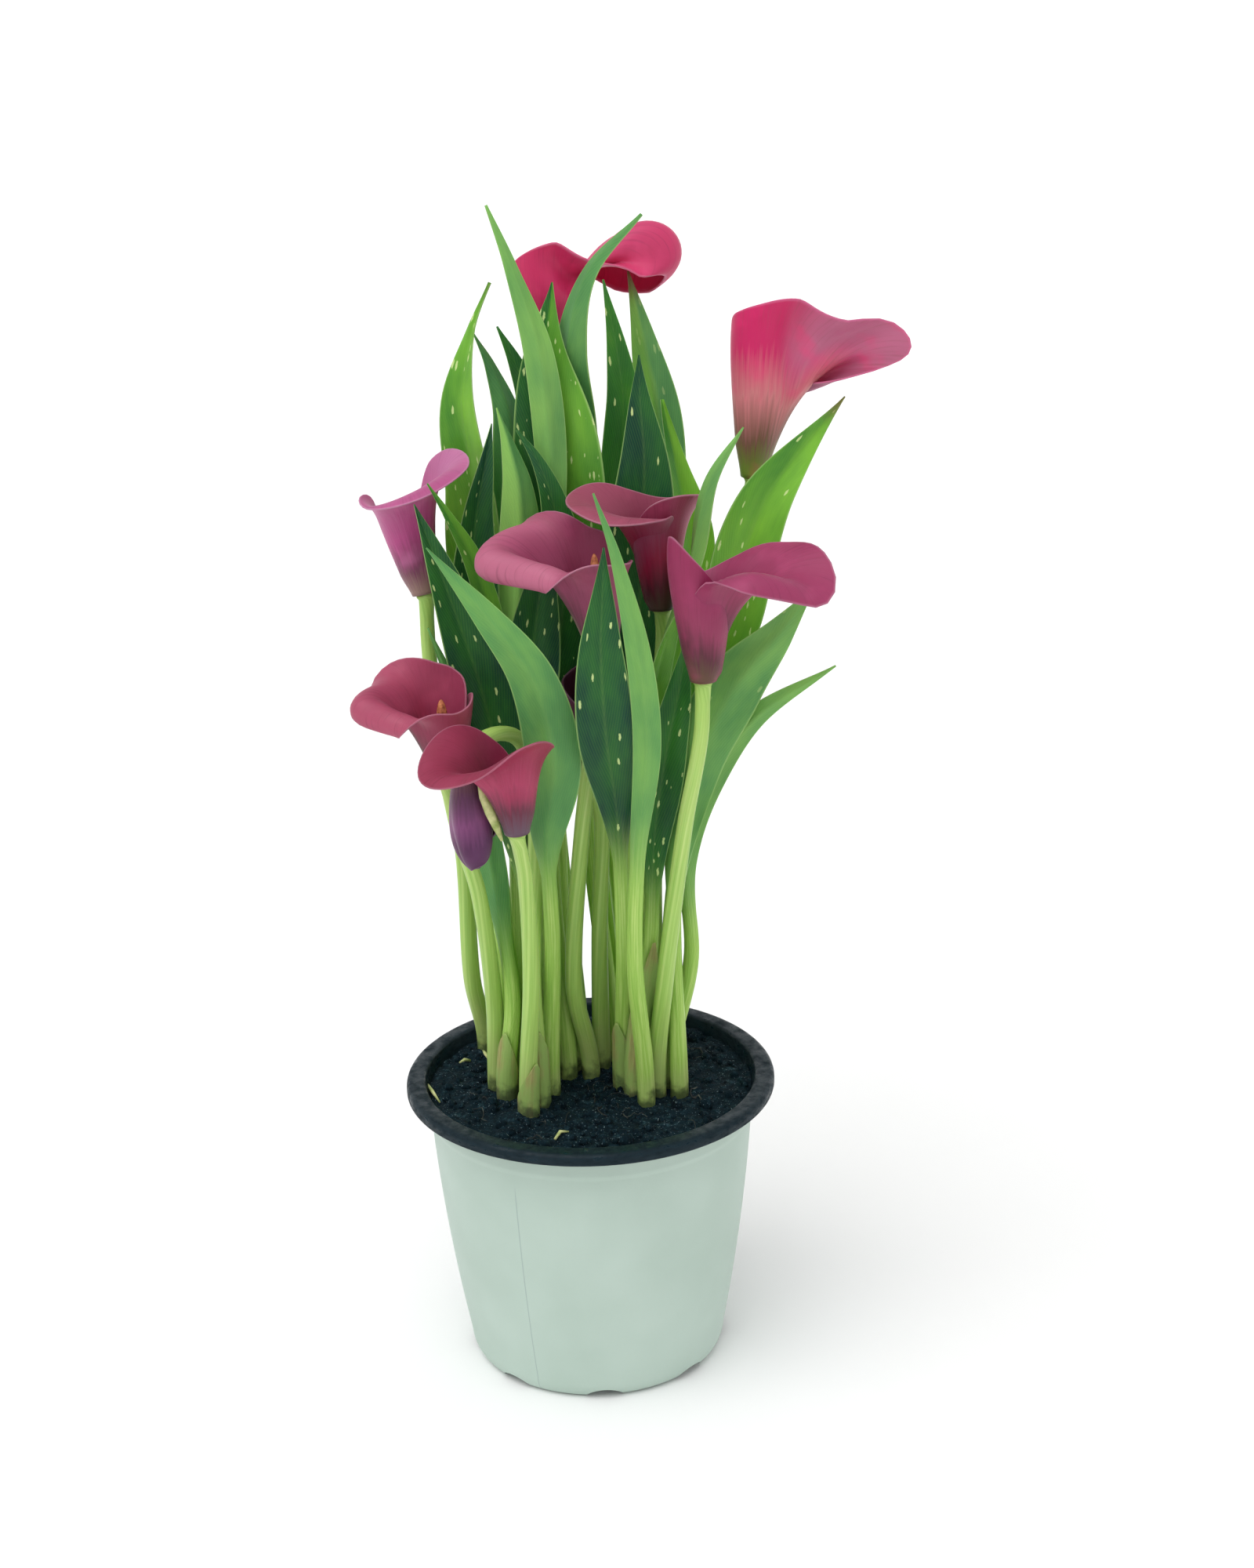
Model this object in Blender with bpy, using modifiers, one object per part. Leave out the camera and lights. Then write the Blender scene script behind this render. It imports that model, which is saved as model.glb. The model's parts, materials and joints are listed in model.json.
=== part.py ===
"""Potted calla lily: a two-tone nursery pot, its soil, the tubers in it, and the
leaves and blooms that rise from them.

Sizes are in millimetres and MM turns them into Blender's metres. The origin is the
middle of the pot's base, +Z is up and -Y is the side that faces the viewer.
"""

import math

import bpy
import bmesh
from mathutils import Matrix, Vector

MM = 0.001
GAP = 0.3

# Pot
RIM_R = 70.0
POT_H = 114.0
RIM_H = 4.6
RIM_ROUND = 2.2
THROAT_R = 62.9
STEP_Z = 100.0
STEP_OUT = 0.9
BODY_R = 61.2
BULGE = 5.6
FOOT_R = 49.4
FOOT_Z = 8.0
BASE_R = 44.0
WALL = 1.3
WALL_STEPS = (0.5,)
POT_SIDES = 36
NOTCH_COUNT = 8
NOTCH_TURN = 3.0
NOTCH_WIDE = 14.0
NOTCH_HIGH = 4.0
NOTCH_DEEP = 14.0
NOTCH_AT = FOOT_R - 4.0

# Soil and tubers
SOIL_Z = 109.0
SOIL_DOME = 1.2
SOIL_SIDES = 24
HOLE_GAP = 0.35
STEM_FOOT_Z = 82.0
TUBER_TOP_Z = STEM_FOOT_Z - GAP
TUBER_H = 22.0
TUBER_SIDES = 12
HOLE_SIDES = 8
SOIL_BUMP = 0.7
CELL = 8.4
ROW_STEP = 0.87
TUBERS = ("front_left", "middle", "right")

# Stems and leaves
STEM_R = 3.5
STEM_SIDES = 8
STALK_TOP_R = 2.6
STRAIGHT_Z = 113.0
BLADE_THICK = 0.8
RIB_THICK = 1.7
TIP_HALF = 0.45
LEAF_ACROSS = 5
STALK_STEPS = 3
BLADE_STEPS = 7
STALK_SHARES = (0.0, 0.25, 0.5, 0.7, 0.82, 0.9, 0.96)

# Blooms
SHEET = 0.9
TUBE_R = 3.6
CURL = 4.4
LIP_WIDE = 40.0
SOCKET = 6.0
SPIRAL = 2.2
SPATHE_ACROSS = 13
SPATHE_STEPS = 7
LIP_DENSE = 0.6
SPADIX_R = 2.3

# Clumps of shoots: middle of each in the soil, and the size of the tuber under it
CLUMPS = {
    "back_left": ((-41, 32), 13.0),
    "front_left": ((-23, -11), 15.0),
    "middle": ((-4, 11), 11.0),
    "right": ((21, -5), 15.0),
    "back": ((12, 33), 13.0),
}

# Leaves. foot: clump and its cell in steps to the right and to the back. path: points
# that the midrib passes, from above the soil to the tip. blade: share of the length
# where the blade starts, its width, and where along the blade it is widest. face: the
# way that the upper side looks at the blade's start and at its tip, in degrees from
# the viewer toward the right. fold and wave: how deep the midrib lies in the blade and
# how far its margins ripple.
LEAVES = {
    "leaf_01": dict(
        foot=("middle", 0, 0),
        path=[(-9, 12, 163), (-9, 13, 256), (-7, 10, 345), (-10, 10, 388), (-19, 12, 419),
              (-27, 15, 440)],
        blade=(0.58, 12, 0.45), face=(170, 215), fold=0.25, wave=0.4,
    ),
    "leaf_02": dict(
        foot=("back_left", 1, 0),
        path=[(-40, 31, 189), (-39, 28, 269), (-36, 25, 332), (-39, 24, 369), (-34, 25, 394),
              (-27, 26, 411)],
        blade=(0.5, 21, 0.42), face=(10, -60), fold=0.3, wave=0.8,
    ),
    "leaf_03": dict(
        foot=("middle", -2, 2),
        path=[(-19, 26, 190), (-20, 28, 283), (-22, 28, 360), (-28, 30, 380), (-34, 31, 392)],
        blade=(0.55, 17, 0.45), face=(200, 215), fold=0.35, wave=0.3,
    ),
    "leaf_04": dict(
        foot=("middle", 0, 2),
        path=[(-10, 31, 205), (-11, 39, 296), (-15, 41, 363), (-20, 42, 379), (-26, 43, 392)],
        blade=(0.55, 17, 0.5), face=(10, 20), fold=0.35, wave=0.3,
    ),
    "leaf_05": dict(
        foot=("middle", -1, 1),
        path=[(-11, 19, 191), (-8, 21, 260), (-5, 19, 317), (-5, 18, 353), (-8, 20, 385),
              (-5, 24, 411)],
        blade=(0.5, 34, 0.5), face=(0, -10), fold=0.2, wave=1.2,
    ),
    "leaf_06": dict(
        foot=("middle", 1, 1),
        path=[(2, 24, 206), (3, 28, 294), (1, 27, 360), (0, 20, 388), (8, 14, 416),
              (27, 12, 436)],
        blade=(0.55, 17, 0.4), face=(170, 120), fold=0.25, wave=0.4,
    ),
    "leaf_07": dict(
        foot=("back", 0, -1),
        path=[(10, 30, 220), (15, 31, 311), (19, 32, 363), (17, 32, 386), (13, 32, 410)],
        blade=(0.5, 16, 0.5), face=(0, 10), fold=0.3, wave=0.5,
    ),
    "leaf_08": dict(
        foot=("back", 1, 0),
        path=[(21, 36, 218), (30, 42, 308), (32, 45, 354), (27, 47, 386), (22, 48, 410)],
        blade=(0.5, 19, 0.5), face=(160, 190), fold=0.45, wave=0.5,
    ),
    "leaf_09": dict(
        foot=("right", -1, 1),
        path=[(17, 5, 213), (22, 8, 270), (24, 12, 316), (26, 14, 346), (25, 17, 371),
              (25, 20, 385)],
        blade=(0.42, 25, 0.55), face=(0, 0), fold=0.2, wave=0.6,
    ),
    "leaf_10": dict(
        foot=("right", 0, 2),
        path=[(25, 17, 208), (38, 26, 282), (42, 28, 314), (38, 30, 340), (33, 32, 366)],
        blade=(0.5, 20, 0.4), face=(20, 30), fold=0.3, wave=0.8,
    ),
    "leaf_11": dict(
        foot=("right", 0, 0),
        path=[(23, -12, 188), (24, -16, 250), (31, -18, 289), (41, -22, 320), (48, -25, 349),
              (60, -24, 368)],
        blade=(0.45, 13, 0.5), face=(-20, 170), fold=0.3, wave=0.4,
    ),
    "leaf_12": dict(
        foot=("right", 1, 1),
        path=[(33, -1, 185), (44, -4, 262), (55, -6, 294), (62, -6, 323), (71, -4, 342),
              (97, 2, 372)],
        blade=(0.4, 23, 0.55), face=(0, 0), fold=0.3, wave=1.2,
    ),
    "leaf_13": dict(
        foot=("right", 1, -1),
        path=[(33, -19, 192), (41, -27, 246), (55, -31, 276), (71, -30, 295), (84, -24, 310)],
        blade=(0.35, 22, 0.6), face=(170, 170), fold=0.3, wave=1.4,
    ),
    "leaf_14": dict(
        foot=("right", 1, 0),
        path=[(39, -8, 163), (38, -9, 202), (46, -16, 234), (62, -25, 262), (91, -33, 284)],
        blade=(0.35, 11, 0.5), face=(180, 180), fold=0.3, wave=0.2,
    ),
    "leaf_15": dict(
        foot=("right", 0, -2),
        path=[(18, -33, 172), (20, -45, 220), (24, -54, 263), (22, -57, 296), (15, -57, 332),
              (8, -55, 354)],
        blade=(0.42, 10, 0.4), face=(175, 175), fold=0.2, wave=0.3,
    ),
    "leaf_16": dict(
        foot=("right", -1, 0),
        path=[(14, -23, 176), (13, -38, 232), (10, -49, 265), (9, -52, 297), (10, -52, 316),
              (11, -51, 334)],
        blade=(0.45, 20, 0.5), face=(0, 0), fold=0.2, wave=0.5,
    ),
    "leaf_17": dict(
        foot=("front_left", 1, 0),
        path=[(-12, -22, 177), (-12, -37, 224), (-9, -47, 259), (-15, -49, 287),
              (-29, -47, 308), (-50, -38, 332)],
        blade=(0.4, 20, 0.35), face=(175, 190), fold=0.2, wave=0.7,
    ),
    "leaf_18": dict(
        foot=("front_left", 0, 0),
        path=[(-20, -12, 175), (-28, -14, 238), (-35, -15, 275), (-43, -14, 303),
              (-50, -15, 326), (-55, -17, 342)],
        blade=(0.35, 21, 0.5), face=(5, 30), fold=0.35, wave=0.6,
    ),
    "leaf_19": dict(
        foot=("front_left", 0, 1),
        path=[(-18, -3, 188), (-23, 0, 248), (-30, -1, 292), (-36, -5, 318), (-44, -12, 337),
              (-50, -16, 349)],
        blade=(0.5, 9, 0.5), face=(10, 20), fold=0.35, wave=0.4,
    ),
    "leaf_20": dict(
        foot=("front_left", -1, 2),
        path=[(-32, 3, 185), (-37, 6, 259), (-37, 7, 303), (-35, 8, 329), (-31, 9, 349),
              (-28, 9, 364)],
        blade=(0.5, 18, 0.45), face=(0, 30), fold=0.35, wave=0.5,
    ),
    "leaf_21": dict(
        foot=("front_left", 0, 2),
        path=[(-22, 4, 199), (-22, 7, 274), (-19, 7, 318), (-19, 7, 341), (-22, 9, 356),
              (-26, 12, 369)],
        blade=(0.55, 16, 0.5), face=(160, 210), fold=0.4, wave=0.4,
    ),
    "leaf_22": dict(
        foot=("middle", -1, -1),
        path=[(-12, 5, 197), (-7, 7, 275), (-4, 6, 310), (-7, 5, 336), (-12, 5, 351),
              (-19, 7, 362)],
        blade=(0.5, 17, 0.45), face=(0, 20), fold=0.25, wave=0.5,
    ),
    "leaf_23": dict(
        foot=("front_left", -1, 1),
        path=[(-25, -5, 186), (-23, -9, 247), (-17, -7, 277), (-13, -4, 302), (-10, -2, 319),
              (-7, -1, 331)],
        blade=(0.42, 22, 0.5), face=(0, 0), fold=0.2, wave=0.8,
    ),
    "leaf_24": dict(
        foot=("right", -1, -1),
        path=[(24, -18, 175), (26, -24, 216), (31, -27, 251), (36, -28, 275), (40, -26, 297)],
        blade=(0.42, 15, 0.5), face=(0, 0), fold=0.3, wave=1.2,
    ),
    "leaf_25": dict(
        foot=("front_left", -1, 0),
        path=[(-28, -12, 150), (-31, -12, 185), (-36, -11, 220), (-39, -10, 253), (-44, -9, 270),
              (-53, -7, 294)],
        blade=(0.3, 11, 0.35), face=(170, 180), fold=0.3, wave=0.5,
    ),
}

# Blooms. foot and path as for the leaves, up to the top of the stalk. axis: the way
# that the tube points there. lip: the way that the drawn-out tip of the spathe points.
# flare: how far the tube opens, in degrees. curl: how late the lip bends. roll: where its end starts to
# roll up, as a share of its length, and by how much. rim: the edge of the sheet, from the margin that
# lies inside to the outer one: degrees round the axis from the lip, length, and angle at the end.
BLOOMS = {
    "top": dict(
        foot=("back", 0, 0),
        path=[(6, 42, 199), (0, 46, 291), (-5, 47, 360), (-9, 47, 371)],
        axis=(0.02, 0, 1), lip=(1, 0, 0), flare=12, curl=1.3, roll=(0.5, 190), twist=30, spadix=26,
        rim=[(-235, 10, 8), (-205, 26, 5), (-165, 40, 3), (-120, 48, -2), (-75, 51, 10),
             (-42, 50, 38), (-18, 76, 60), (0, 97, 60), (18, 76, 60), (40, 50, 60), (80, 42, 40),
             (130, 38, 30), (160, 10, 8)],
    ),
    "right_high": dict(
        foot=("right", 1, 2),
        path=[(35, 14, 194), (50, 16, 270), (61, 15, 318), (65, 14, 340)],
        axis=(0.1, 0, 1), lip=(1, -0.1, 0.1), flare=9, curl=1.5, roll=(0.8, 0), twist=-80, spadix=30,
        rim=[(-240, 10, 8), (-215, 36, 5), (-180, 54, 0), (-130, 62, 0), (-90, 64, 5), (-55, 61, 22),
             (-22, 55, 68), (-10, 72, 84), (0, 77, 92), (10, 72, 88), (22, 54, 80), (45, 46, 60),
             (100, 38, 25), (135, 34, 10), (160, 10, 8)],
    ),
    "left": dict(
        foot=("back_left", 0, 0),
        path=[(-45, 27, 142), (-46, 23, 197), (-51, 15, 235), (-54, 9, 278), (-54, 6, 302)],
        axis=(-0.2, 0.17, 1), lip=(1, 0.3, 0), flare=10, curl=3.0, roll=(0.8, 0), twist=0, spadix=20,
        rim=[(-250, 10, 8), (-220, 24, 8), (-180, 39, 5), (-135, 44, 110), (-90, 50, 150),
             (-45, 55, 125), (-15, 52, 45), (0, 46, 10), (45, 32, 0), (90, 24, 10), (120, 20, 10),
             (155, 10, 8)],
    ),
    "middle_open": dict(
        foot=("middle", 0, -1),
        path=[(-5, -6, 153), (0, -16, 218), (6, -23, 262), (9, -25, 284)],
        axis=(-0.04, 0.04, 1), lip=(-1, -0.2, 0.1), flare=8, curl=1.2, roll=(0.62, 280), twist=0, spadix=34,
        rim=[(-200, 12, 8), (-165, 34, 15), (-130, 44, 12), (-90, 48, 18), (-60, 56, 32), (-30, 70, 62),
             (0, 82, 92), (20, 62, 85), (45, 47, 65), (90, 40, 38), (140, 38, 35), (180, 36, 25),
             (215, 26, 10), (240, 10, 8)],
    ),
    "middle_right": dict(
        foot=("right", 0, 1),
        path=[(26, 0, 199), (29, -5, 261), (31, -8, 288), (31, -10, 299)],
        axis=(-0.05, 0, 1), lip=(-1, -0.2, 0), flare=9, curl=2.4, roll=(0.8, 0), twist=0, spadix=20,
        rim=[(-350, 20, 8), (-325, 32, 8), (-290, 41, 12), (-250, 45, 30), (-215, 45, 55),
             (-180, 42, 60), (-120, 38, 25), (-60, 43, 32), (-20, 53, 75), (10, 56, 98),
             (45, 51, 130), (85, 44, 95), (115, 34, 20), (140, 16, 8)],
    ),
    "right": dict(
        foot=("right", 0, -1),
        path=[(29, -25, 163), (37, -39, 228), (43, -47, 264), (44, -48, 284)],
        axis=(0, 0, 1), lip=(1, -0.1, 0), flare=10, curl=1.5, roll=(0.8, 0), twist=0, spadix=24,
        rim=[(-140, 10, 8), (-115, 28, 10), (-85, 40, 40), (-55, 60, 165), (-25, 68, 165),
             (0, 64, 85), (25, 55, 75), (55, 43, 55), (100, 36, 35), (145, 42, 10), (185, 51, -8),
             (222, 53, -8), (265, 46, -4), (310, 35, 3), (345, 25, 8), (360, 14, 8)],
    ),
    "left_low": dict(
        foot=("front_left", -2, 1),
        path=[(-35, -9, 148), (-38, -27, 199), (-44, -34, 227), (-47, -36, 246)],
        axis=(-0.02, 0.0, 1), lip=(-1, -0.3, 0.1), flare=12, curl=1.2, roll=(0.55, 290), twist=0, spadix=24,
        rim=[(-205, 10, 8), (-170, 32, 5), (-135, 38, 0), (-90, 41, 0), (-50, 46, 28), (-25, 55, 60),
             (0, 63, 78), (20, 48, 75), (45, 36, 50), (90, 29, 28), (135, 29, 10), (180, 31, 3),
             (215, 24, 5), (240, 8, 8)],
    ),
    "left_front": dict(
        foot=("front_left", 0, -2),
        path=[(-20, -34, 166), (-20, -48, 212), (-22, -60, 234)],
        axis=(-0.06, -0.02, 1), lip=(-1, -0.5, 0), flare=11, curl=1.6, roll=(0.6, 30), twist=0, spadix=14,
        rim=[(-150, 8, 8), (-120, 24, 8), (-80, 34, 18), (-40, 44, 60), (0, 47, 95), (40, 42, 120),
             (80, 43, 75), (120, 38, 45), (160, 32, 55), (195, 24, 20), (225, 8, 8)],
    ),
    "shaded": dict(
        foot=("middle", 1, 0),
        path=[(5, 4, 167), (7, 0, 215), (5, -4, 232), (5, -5, 238)],
        axis=(-0.05, 0.0, 1), lip=(0.2, 1, 0), flare=11, curl=4.0, roll=(0.8, 0), twist=0, spadix=22,
        rim=[(-160, 10, 8), (-120, 30, -10), (-60, 35, -12), (0, 38, -10), (60, 35, -12),
             (120, 32, -12), (180, 24, -8), (225, 10, 8)],
    ),
    "drooping": dict(
        foot=("front_left", 0, -1),
        path=[(-20, -21, 162), (-17, -20, 208), (-17, -21, 242), (-22, -31, 260),
              (-33, -46, 265), (-39, -53, 257)],
        axis=(0.08, -0.02, -1), lip=(-1, -0.3, 0), flare=13, curl=2.0, roll=(0.8, 0), twist=0, spadix=12,
        rim=[(-160, 10, 8), (-120, 30, -25), (-60, 36, -45), (0, 39, -50), (60, 37, -50),
             (120, 32, -45), (180, 24, -20), (225, 10, 8)],
    ),
}


def smooth(low, high, value):
    """0 below low, 1 above high, and an S curve between them."""
    share = min(max((value - low) / (high - low), 0.0), 1.0)
    return share * share * (3.0 - 2.0 * share)


def mix(a, b, share):
    return a + (b - a) * share


def new_collection(name):
    collection = bpy.data.collections.new(name)
    bpy.context.scene.collection.children.link(collection)
    return collection


def material(name, colour, roughness):
    """A Principled BSDF material of one colour."""
    made = bpy.data.materials.new(name)
    made.use_nodes = True
    shader = made.node_tree.nodes["Principled BSDF"]
    shader.inputs["Base Color"].default_value = (*colour, 1.0)
    shader.inputs["Roughness"].default_value = roughness
    made.diffuse_color = (*colour, 1.0)
    return made


def mesh_object(name, mesh, collection, *materials):
    thing = bpy.data.objects.new(name, mesh)
    collection.objects.link(thing)
    for one in materials:
        mesh.materials.append(one)
    return thing


def to_mesh(shape, name):
    """Turns a bmesh in millimetres into a smooth mesh in metres."""
    bmesh.ops.scale(shape, vec=(MM, MM, MM), verts=shape.verts)
    mesh = bpy.data.meshes.new(name)
    shape.to_mesh(mesh)
    shape.free()
    mesh.shade_smooth()
    return mesh


def evaluated_mesh(thing):
    """The mesh of an object with its modifiers applied."""
    bpy.context.view_layer.update()
    graph = bpy.context.evaluated_depsgraph_get()
    return bpy.data.meshes.new_from_object(thing.evaluated_get(graph))


def foot_of(place):
    """Where a stem stands in the soil: a clump is filled like a honeycomb."""
    clump, column, row = place
    middle = CLUMPS[clump][0]
    shift = 0.5 * (row % 2)
    across = middle[0] + (column + shift) * CELL
    back = middle[1] + row * CELL * ROW_STEP
    return Vector((across, back, 0.0))


class Line:
    """A smooth line through points, met upright at its first one."""

    def __init__(self, points):
        self.points = [Vector(p) for p in points]
        self.knots = [0.0]
        for a, b in zip(self.points, self.points[1:]):
            self.knots.append(self.knots[-1] + (b - a).length)

    def slope(self, index):
        if index == 0:
            return Vector((0.0, 0.0, 1.0))
        last = min(index + 1, len(self.points) - 1)
        first = index - 1
        return (self.points[last] - self.points[first]) / (self.knots[last] - self.knots[first])

    def at(self, share):
        """The point at a share of the length."""
        place = share * self.knots[-1]
        index = 0
        while index < len(self.points) - 2 and place > self.knots[index + 1]:
            index += 1
        span = self.knots[index + 1] - self.knots[index]
        t = (place - self.knots[index]) / span
        u = 1.0 - t
        ends = self.points[index] * (u * u * (1 + 2 * t)) + self.points[index + 1] * (t * t * (3 - 2 * t))
        return ends + self.slope(index) * (span * t * u * u) - self.slope(index + 1) * (span * t * t * u)

    def along(self, share):
        """The direction at a share of the length."""
        step = 0.004
        return (self.at(min(share + step, 1.0)) - self.at(max(share - step, 0.0))).normalized()


def stem_line(spec, *ends):
    """The line of a leaf or stalk from just above the soil."""
    foot = foot_of(spec["foot"])
    return Line([(foot.x, foot.y, STRAIGHT_Z)] + spec["path"] + list(ends))


def skin(shape, rings):
    """Joins rings of vertices into a closed skin with capped ends."""
    count = len(rings[0])
    for low, high in zip(rings, rings[1:]):
        for i in range(count):
            j = (i + 1) % count
            if i < count // 2:
                shape.faces.new((low[i], low[j], high[i]))
                shape.faces.new((low[j], high[j], high[i]))
            else:
                shape.faces.new((low[i], low[j], high[j]))
                shape.faces.new((low[i], high[j], high[i]))
    shape.faces.new(list(reversed(rings[0])))
    shape.faces.new(rings[-1])
    bmesh.ops.recalc_face_normals(shape, faces=shape.faces)


def soil_rings(shape, foot, outline):
    """The two lowest rings of a stem, upright in its hole in the soil."""
    rings = []
    for height in (STEM_FOOT_Z, SOIL_Z):
        rings.append([shape.verts.new((foot.x + x, foot.y + y, height)) for x, y in outline])
    return rings


def facing(degrees):
    """A level direction, in degrees from the viewer toward the right."""
    turn = math.radians(degrees)
    return Vector((math.sin(turn), -math.cos(turn), 0.0))


def blade_half_width(t, start, half, widest):
    """Half the width of a blade at a share t of its length: lance shaped."""
    if t < widest:
        return mix(start, half, math.sin(math.pi / 2 * t / widest) ** 1.5)
    return mix(TIP_HALF, half, math.cos(math.pi / 2 * (t - widest) / (1 - widest)) ** 1.15)


def leaf_outline(t, half, fold, wave, ripple):
    """One ring of a leaf: across and up, with the upper face first, left to right.

    t is negative on the stalk, which is round, and runs from 0 to 1 along the blade.
    """
    flat = smooth(0.0, 0.3, t)
    points = []
    for side in (1, -1):
        for i in range(LEAF_ACROSS):
            u = side * (2 * i / (LEAF_ACROSS - 1) - 1)
            turn = math.radians(90 - 72 * u)
            round_x = half * math.sin(math.radians(72 * u))
            round_y = side * half * math.sin(turn)
            rise = fold * half * abs(u) ** 1.4 + wave * math.sin(ripple + 17 * t + 1.3 * u) * u * u * flat
            rib = (RIB_THICK - BLADE_THICK) * max(0.0, 1 - 2 * abs(u)) * (1 - t)
            thick = BLADE_THICK / 2 if side > 0 else BLADE_THICK / 2 + rib
            points.append((mix(round_x, half * u, flat), mix(round_y, rise + side * thick, flat)))
    return points


def make_leaf(name, spec, look, collection):
    """A leaf as one body: a round stalk that opens into a folded, pointed blade."""
    shape = bmesh.new()
    line = stem_line(spec)
    begins, width, widest = spec["blade"]
    ripple = 1.7 * (sum(map(ord, name)) % 7)
    foot = foot_of(spec["foot"])
    turn = facing(spec["face"][0])
    side = Vector((0.0, 0.0, 1.0)).cross(turn)
    first = leaf_outline(-1.0, STEM_R, 0.0, 0.0, 0.0)
    rings = soil_rings(shape, foot, [(x * side.x + y * turn.x, x * side.y + y * turn.y) for x, y in first])
    shares = [begins * i / STALK_STEPS for i in range(STALK_STEPS)]
    shares += [mix(begins, 1.0, i / BLADE_STEPS) for i in range(BLADE_STEPS + 1)]
    for share in shares:
        t = (share - begins) / (1.0 - begins)
        stalk_r = mix(STEM_R, STEM_R * 0.8, min(share / begins, 1.0))
        half = stalk_r if t <= 0 else blade_half_width(t, stalk_r, width / 2, widest)
        ahead = line.along(share)
        look_way = facing(mix(spec["face"][0], spec["face"][1], max(t, 0.0)))
        up = (look_way - ahead * look_way.dot(ahead)).normalized()
        side = ahead.cross(up)
        middle = line.at(share)
        outline = leaf_outline(max(t, -1.0), half, spec["fold"], spec["wave"], ripple)
        rings.append([shape.verts.new(middle + side * x + up * y) for x, y in outline])
    skin(shape, rings)
    return mesh_object(name, to_mesh(shape, name), collection, look)


def stalk_axis(spec):
    """The top of a flower stalk and the direction of its bloom."""
    return Vector(spec["path"][-1]), Vector(spec["axis"]).normalized()


def make_stalk(name, spec, look, collection):
    """A flower stalk: round, and straight where the bloom's tube is round it."""
    shape = bmesh.new()
    top, axis = stalk_axis(spec)
    line = stem_line(spec)
    foot = foot_of(spec["foot"])
    turns = [2 * math.pi * i / STEM_SIDES for i in range(STEM_SIDES)]
    first = [(STEM_R * math.cos(a), STEM_R * math.sin(a)) for a in turns]
    rings = soil_rings(shape, foot, first)
    stations = [(line.at(share), line.along(share), share) for share in STALK_SHARES]
    stations += [(top, axis, 1.0), (top + axis * SOCKET, axis, 1.0)]
    for middle, ahead, share in stations:
        side = (Vector((1.0, 0.0, 0.0)) - ahead * ahead.x).normalized()
        other = ahead.cross(side)
        radius = mix(STEM_R, STALK_TOP_R, share)
        across, deep = side * radius, other * radius
        rings.append([shape.verts.new(middle + across * math.cos(a) + deep * math.sin(a)) for a in turns])
    skin(shape, rings)
    return mesh_object(name, to_mesh(shape, name), collection, look)


def between(table, place):
    """The numbers that a table gives at a place: its rows start with their places."""
    index = 0
    while index < len(table) - 2 and place > table[index + 1][0]:
        index += 1
    low, high = table[index], table[index + 1]
    before, after = table[max(index - 1, 0)], table[min(index + 2, len(table) - 1)]
    span = high[0] - low[0]
    t = (place - low[0]) / span
    u = 1.0 - t
    found = []
    for a, b, c, d in zip(before[1:], low[1:], high[1:], after[1:]):
        leave = (c - a) / (high[0] - before[0]) * span
        arrive = (d - b) / (after[0] - low[0]) * span
        found.append(b * u * u * (1 + 2 * t) + c * t * t * (3 - 2 * t) + t * u * (leave * u - arrive * t))
    return found


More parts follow.
